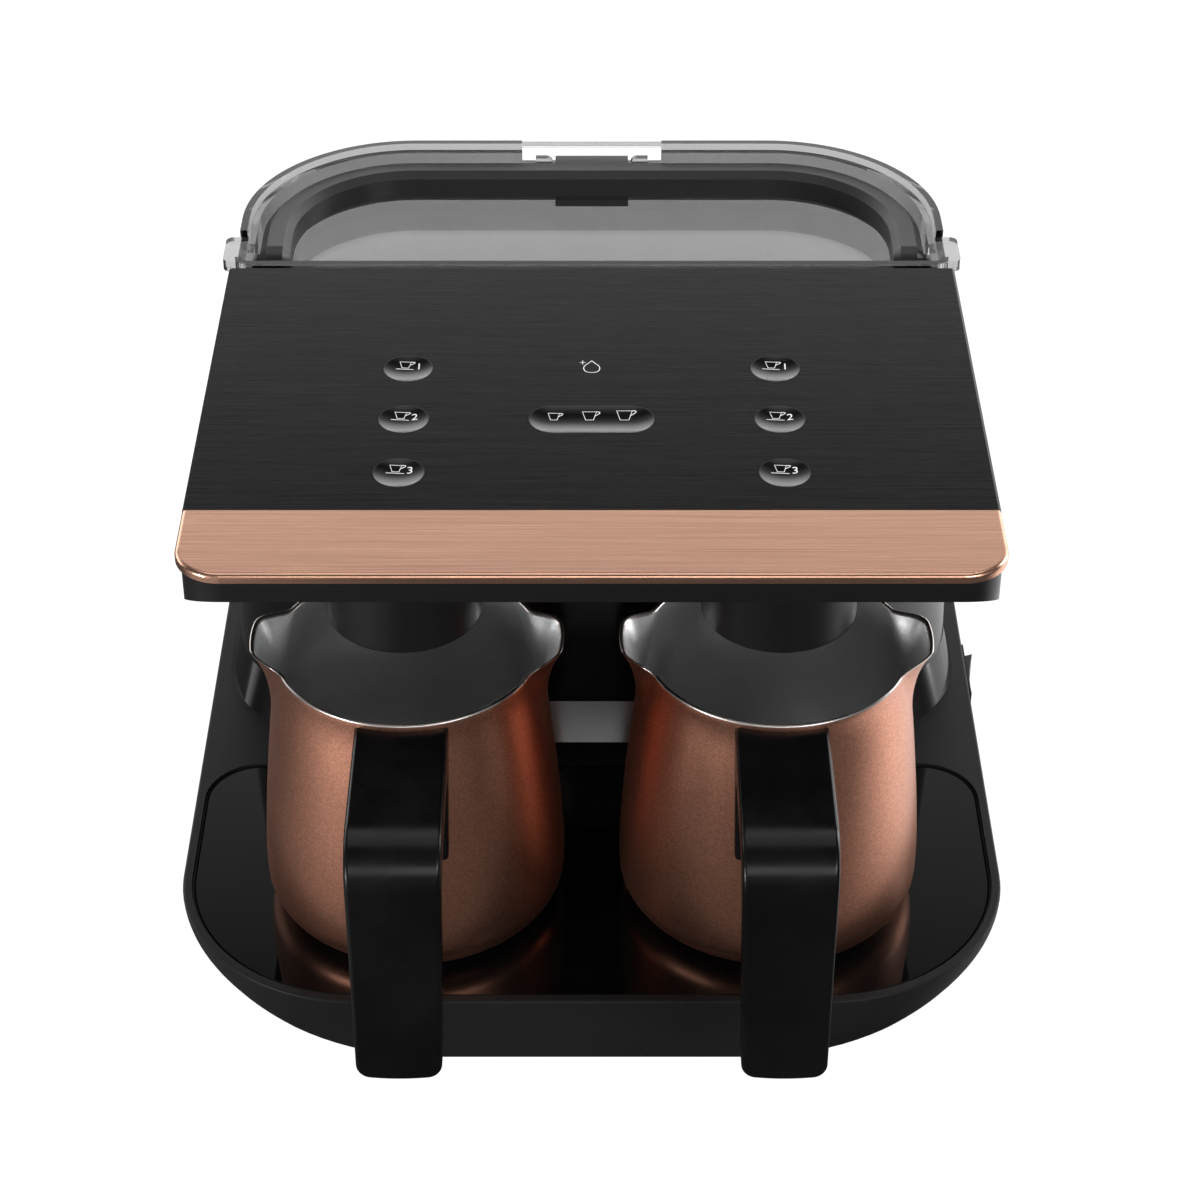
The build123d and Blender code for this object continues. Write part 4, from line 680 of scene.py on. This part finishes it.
class COFFEE_OT_finish_head(bpy.types.Operator):
    """Finishes the head with its brushed panel, copper band, keys and nozzles"""
    bl_idname = "coffee.finish_head"
    bl_label = "Finish the head"

    def execute(self, context):
        look = context.scene.body_look
        satin = moulded("head_satin", HEAD_SATIN, 0.35, 0.25, 0.00002)
        finish_nodes(satin, "head_shell", "head_underside", "nozzle_left", "nozzle_right")
        finish_nodes(brushed("copper_band", tuple(look.band), 0.24, 0.05, 0.16), "copper_band")
        finish_nodes(brushed("black_panel", tuple(look.panel), 0.25, 0.12, 0.6, 0.00003, 0.8),
                     "top_panel")
        keys = [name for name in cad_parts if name.startswith(("key_left", "key_right"))]
        finish_nodes(brushed("key_faces", KEY_FACE, 0.2, 0.04, 0.1), "size_key", *keys)
        finish_nodes(polished("jet_plastic", JET, 0.2, 0.5), "water_jets")
        finish_nodes(polished("sensor_window", SENSOR, 0.05, 0.5), "foam_sensors")
        return {"FINISHED"}


class COFFEE_OT_finish_inside(bpy.types.Operator):
    """Finishes the coils, boards, pumps, hoses and fan inside"""
    bl_idname = "coffee.finish_inside"
    bl_label = "Finish the inner parts"

    def execute(self, context):
        plain = moulded("inner_plastic", INNER_PLASTIC, 0.5, 0.4)
        finish_nodes(plain, "coil_carrier_left", "coil_carrier_right", "fan_frame", "fan_rotor",
                     "pump_left", "pump_right", "tank_socket", "tank_valve")
        finish_nodes(metal("winding_copper", WINDING, 0.35), "induction_coil_left",
                     "induction_coil_right")
        finish_nodes(metal("bare_aluminium", ALUMINIUM, 0.4), "pot_probes", "heat_sink")
        finish_nodes(moulded("solder_mask", SOLDER_MASK, 0.35, 0.5, 0.00003, 700.0),
                     "power_board", "control_board")
        finish_nodes(moulded("hose_silicone", HOSE, 0.4, 0.5), "feed_hoses", "hose_left",
                     "hose_right")
        finish_nodes(moulded("mat_silicone", KEY_MAT, 0.6, 0.4), "key_mat")
        finish_nodes(moulded("filter_mesh", FILTER, 0.5, 0.4, 0.0002, 900.0), "tank_filter")
        return {"FINISHED"}


class COFFEE_OT_finish_tank(bpy.types.Operator):
    """Finishes the clear tank, its lid and the carry handle"""
    bl_idname = "coffee.finish_tank"
    bl_label = "Finish the water tank"

    def execute(self, context):
        look = context.scene.tank_look
        finish_nodes(clear("clear_smoke", tuple(look.tint)), "water_tank", "tank_lid")
        finish_nodes(moulded("bail_satin", tuple(look.bail), 0.4, 0.4, 0.00002), "tank_bail")
        return {"FINISHED"}


class COFFEE_OT_make_pots(bpy.types.Operator):
    """Finishes the two pots and their handles"""
    bl_idname = "coffee.make_pots"
    bl_label = "Make the pots"

    def execute(self, context):
        look = context.scene.pot_look
        materials = [lacquer("pot_copper", tuple(look.copper)),
                     metal("rim_edge", RIM_EDGE, 0.3),
                     metal("pot_lining", tuple(look.lining), 0.42, 1700.0, 0.00004)]
        for side_name in SIDES:
            pot_piece(side_name, materials)
        finish_nodes(polished("handle_black", tuple(look.handle), 0.26, 0.2), "pot_handle_left",
                     "pot_handle_right")
        return {"FINISHED"}


class COFFEE_OT_make_symbols(bpy.types.Operator):
    """Prints the cups, digits and the water drop on the keys and the panel"""
    bl_idname = "coffee.make_symbols"
    bl_label = "Print the symbols"

    def execute(self, context):
        look = context.scene.mark_look
        ink = symbol_ink(look)
        for side_name in SIDES:
            for row in (1, 2, 3):
                self.key_symbol(f"key_{side_name}_{row}", str(row), look, ink)
        low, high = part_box("size_key")
        key_y = (low.y + high.y) / 2
        parts = []
        for place, sizes in SIZE_CUPS:
            parts += cup_lines(sizes, look.line, place * MM, key_y + SIZE_CUPS_Y * MM)
        symbol_piece("size_key_symbols", parts, "size_key",
                     lambda px, py: dish_z(max(0.0, abs(px) - SIZE_KEY_HALF), py - key_y), ink)
        parts = [(stroke("drop", in_metres(DROP), look.line, True, True), 0, DROP_Y * MM)]
        plus = in_metres([PLUS_PLACE])[0]
        for points in PLUS:
            parts.append((stroke("plus", in_metres(points), look.line * PLUS_LINE), *plus))
        symbol_piece("panel_drop", parts, "machine", lambda px, py: PANEL_TOP, ink)
        return {"FINISHED"}

    def key_symbol(self, node, digit, look, ink):
        """Cup, saucer and digit in the dish of a round key."""
        low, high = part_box(node)
        key = (low + high) / 2
        cup, saucer, number = [(key.x + x, key.y + y) for x, y in
                               in_metres([KEY_CUP_PLACE, KEY_SAUCER_PLACE, KEY_DIGIT_PLACE])]
        parts = cup_lines(KEY_CUP, look.line, *cup)
        line = in_metres([(-KEY_SAUCER_HALF, 0), (KEY_SAUCER_HALF, 0)])
        parts.append((stroke("saucer", line, look.line), *saucer))
        parts.append((digit_text("digit", digit, look.digit), *number))
        symbol_piece(f"{node}_symbol", parts, node,
                     lambda px, py: dish_z(px - key.x, py - key.y), ink)


# Name, place, target, property with the power, width and height.
LAMPS = (("top_lamp", (0.0, 0.1, 1.5), (0.0, 0.0, 0.1), "top_power", 1.3, 1.0),
         ("front_lamp", (0.0, -1.1, 0.62), (0.0, 0.0, 0.1), "front_power", 0.5, 0.3),
         ("fill_lamp", (0.55, -0.95, 0.62), (0.0, 0.0, 0.1), "fill_power", 0.5, 0.3),
         ("right_lamp", (0.95, 0.35, 0.4), (0.06, -0.06, 0.08), "right_power", 0.3, 0.7),
         ("left_lamp", (-0.75, -0.65, 0.16), (0.0, -0.08, 0.07), "left_power", 0.3, 0.24))
CAMERA_PLACE = (0.0, -0.8130, 0.6850)
CAMERA_TILT = radians(54.0)
CAMERA_SHIFT = 0.0069
SENSOR_WIDTH = 36.0
FLOOR_GREY = ((0.115, 0.115, 0.115), (0.125, 0.125, 0.125))
# The glow over a place on the floor: low, high, value at low, value at high.
RIGHT_GLOW_X, RIGHT_GLOW_Y = (0.10, 0.22, 0.0, 1.3), (-0.18, -0.05, 0.0, 1.0)
LEFT_GLOW_X, LEFT_GLOW_Y = (-0.10, -0.20, 0.0, 0.32), (-0.20, -0.02, 1.0, 0.0)
# The same for the studio's walls, over the Z or the Y of a direction.
WALL_FOOT, WALL_EDGE = (0.40, 0.52, 2.6, 0.58), (0.62, 0.70, 1.0, 0.1)
CEILING, BEHIND = (0.80, 0.90, 0.0, 0.6), (0.12, 0.3, 0.0, 1.0)
FRONT_HEIGHT, FRONT_DEPTH = (0.6, 0.95, 1.0, 0.0), (0.0, -0.4, 0.05, 0.32)


class COFFEE_OT_make_stage(bpy.types.Operator):
    """Makes the floor, the lamps, the surrounding light and the camera"""
    bl_idname = "coffee.make_stage"
    bl_label = "Make the stage"

    def execute(self, context):
        look = context.scene.stage_look
        scene = context.scene
        scene.view_settings.view_transform = "Standard"
        bm = bmesh.new()
        bmesh.ops.create_grid(bm, x_segments=1, y_segments=1, size=look.floor_size / 2)
        mesh = bpy.data.meshes.new("floor")
        bm.to_mesh(mesh)
        bm.free()
        floor = bpy.data.objects.new("floor", mesh)
        scene.collection.objects.link(floor)
        mesh.materials.append(self.floor_material())
        self.world(scene)
        for name, place, target, power, width, height in LAMPS:
            lamp = bpy.data.lights.new(name, "AREA")
            lamp.shape = "RECTANGLE"
            lamp.size, lamp.size_y = width, height
            lamp.energy = getattr(look, power)
            lamp_object = bpy.data.objects.new(name, lamp)
            scene.collection.objects.link(lamp_object)
            lamp_object.location = place
            away = Vector(place) - Vector(target)
            lamp_object.rotation_euler = away.to_track_quat("Z", "Y").to_euler()
        camera = bpy.data.cameras.new("camera")
        camera.lens = look.lens
        camera.sensor_width = SENSOR_WIDTH
        camera.shift_x = CAMERA_SHIFT
        camera.clip_start = 0.05
        camera_object = bpy.data.objects.new("camera", camera)
        camera_object.location = CAMERA_PLACE
        camera_object.rotation_euler = (CAMERA_TILT, 0.0, 0.0)
        scene.collection.objects.link(camera_object)
        scene.camera = camera_object
        return {"FINISHED"}

    def floor_material(self):
        """Floor that is white to the camera and glows beside the object in glossy pieces."""
        material, tree, shader, vector = new_material("white_floor")
        mottle = noise(tree, vector, 3.0)
        tree.links.new(tone(tree, mottle, *FLOOR_GREY), shader.inputs["Base Color"])
        shader.inputs["Roughness"].default_value = 0.9
        shader.inputs["Specular IOR Level"].default_value = 0.0
        place = add(tree, "SeparateXYZ", {"Vector": vector}).outputs
        right = multiplied(tree, ranged(tree, place["X"], *RIGHT_GLOW_X),
                           ranged(tree, place["Y"], *RIGHT_GLOW_Y))
        left = multiplied(tree, ranged(tree, place["X"], *LEFT_GLOW_X),
                          ranged(tree, place["Y"], *LEFT_GLOW_Y))
        glow = summed(tree, right, left)
        path = add(tree, "LightPath")
        seen = larger(tree, path.outputs["Is Camera Ray"], path.outputs["Is Transmission Ray"])
        strength = larger(tree, seen, multiplied(tree, path.outputs["Is Glossy Ray"], glow))
        shader.inputs["Emission Color"].default_value = (1, 1, 1, 1)
        tree.links.new(strength, shader.inputs["Emission Strength"])
        return material

    def world(self, scene):
        """Dark studio with a bright horizon behind and a dim front wall, white to the camera."""
        world = bpy.data.worlds.new("studio")
        scene.world = world
        world.use_nodes = True
        tree = world.node_tree
        tree.nodes.clear()
        way = add(tree, "SeparateXYZ",
                  {"Vector": add(tree, "TexCoord").outputs["Generated"]}).outputs
        wall = multiplied(tree, ranged(tree, way["Z"], *WALL_FOOT),
                          ranged(tree, way["Z"], *WALL_EDGE))
        rear = multiplied(tree, summed(tree, wall, ranged(tree, way["Z"], *CEILING)),
                          ranged(tree, way["Y"], *BEHIND))
        front = multiplied(tree, ranged(tree, way["Z"], *FRONT_HEIGHT),
                           ranged(tree, way["Y"], *FRONT_DEPTH))
        level = summed(tree, rear, front)
        seen = add(tree, "LightPath").outputs["Is Camera Ray"]
        background = add(tree, "Background", {"Color": (1, 1, 1, 1),
                                              "Strength": larger(tree, level, seen)})
        add(tree, "OutputWorld", {"Surface": background.outputs["Background"]})


# ---------------------------------------------------------------- panel and registration
class COFFEE_PT_panel(bpy.types.Panel):
    """Lists the steps that make the coffee maker"""
    bl_idname = "COFFEE_PT_panel"
    bl_label = "Coffee maker"
    bl_space_type = "VIEW_3D"
    bl_region_type = "UI"
    bl_category = "Coffee maker"

    def draw(self, context):
        for operator in OPERATORS:
            self.layout.operator(operator.bl_idname)


LOOKS = {"pot_look": PotLook, "body_look": BodyLook, "tank_look": TankLook, "mark_look": MarkLook,
         "stage_look": StageLook}
OPERATORS = (COFFEE_OT_make_stage, COFFEE_OT_finish_base, COFFEE_OT_finish_column,
             COFFEE_OT_finish_head, COFFEE_OT_finish_inside, COFFEE_OT_finish_tank,
             COFFEE_OT_make_pots, COFFEE_OT_make_symbols)
CLASSES = (*LOOKS.values(), *OPERATORS, COFFEE_PT_panel)


def register():
    """Registers the classes and puts each group of properties on the scene."""
    for cls in CLASSES:
        bpy.utils.register_class(cls)
    for name, cls in LOOKS.items():
        setattr(bpy.types.Scene, name, PointerProperty(type=cls))


def unregister():
    """Takes everything that register added away again."""
    for name in LOOKS:
        delattr(bpy.types.Scene, name)
    for cls in reversed(CLASSES):
        bpy.utils.unregister_class(cls)


def main():
    """Makes every piece in order."""
    register()
    grain_group()
    brushed_group()
    for operator in OPERATORS:
        area, name = operator.bl_idname.split(".")
        getattr(getattr(bpy.ops, area), name)()


if __name__ == "__main__":
    main()
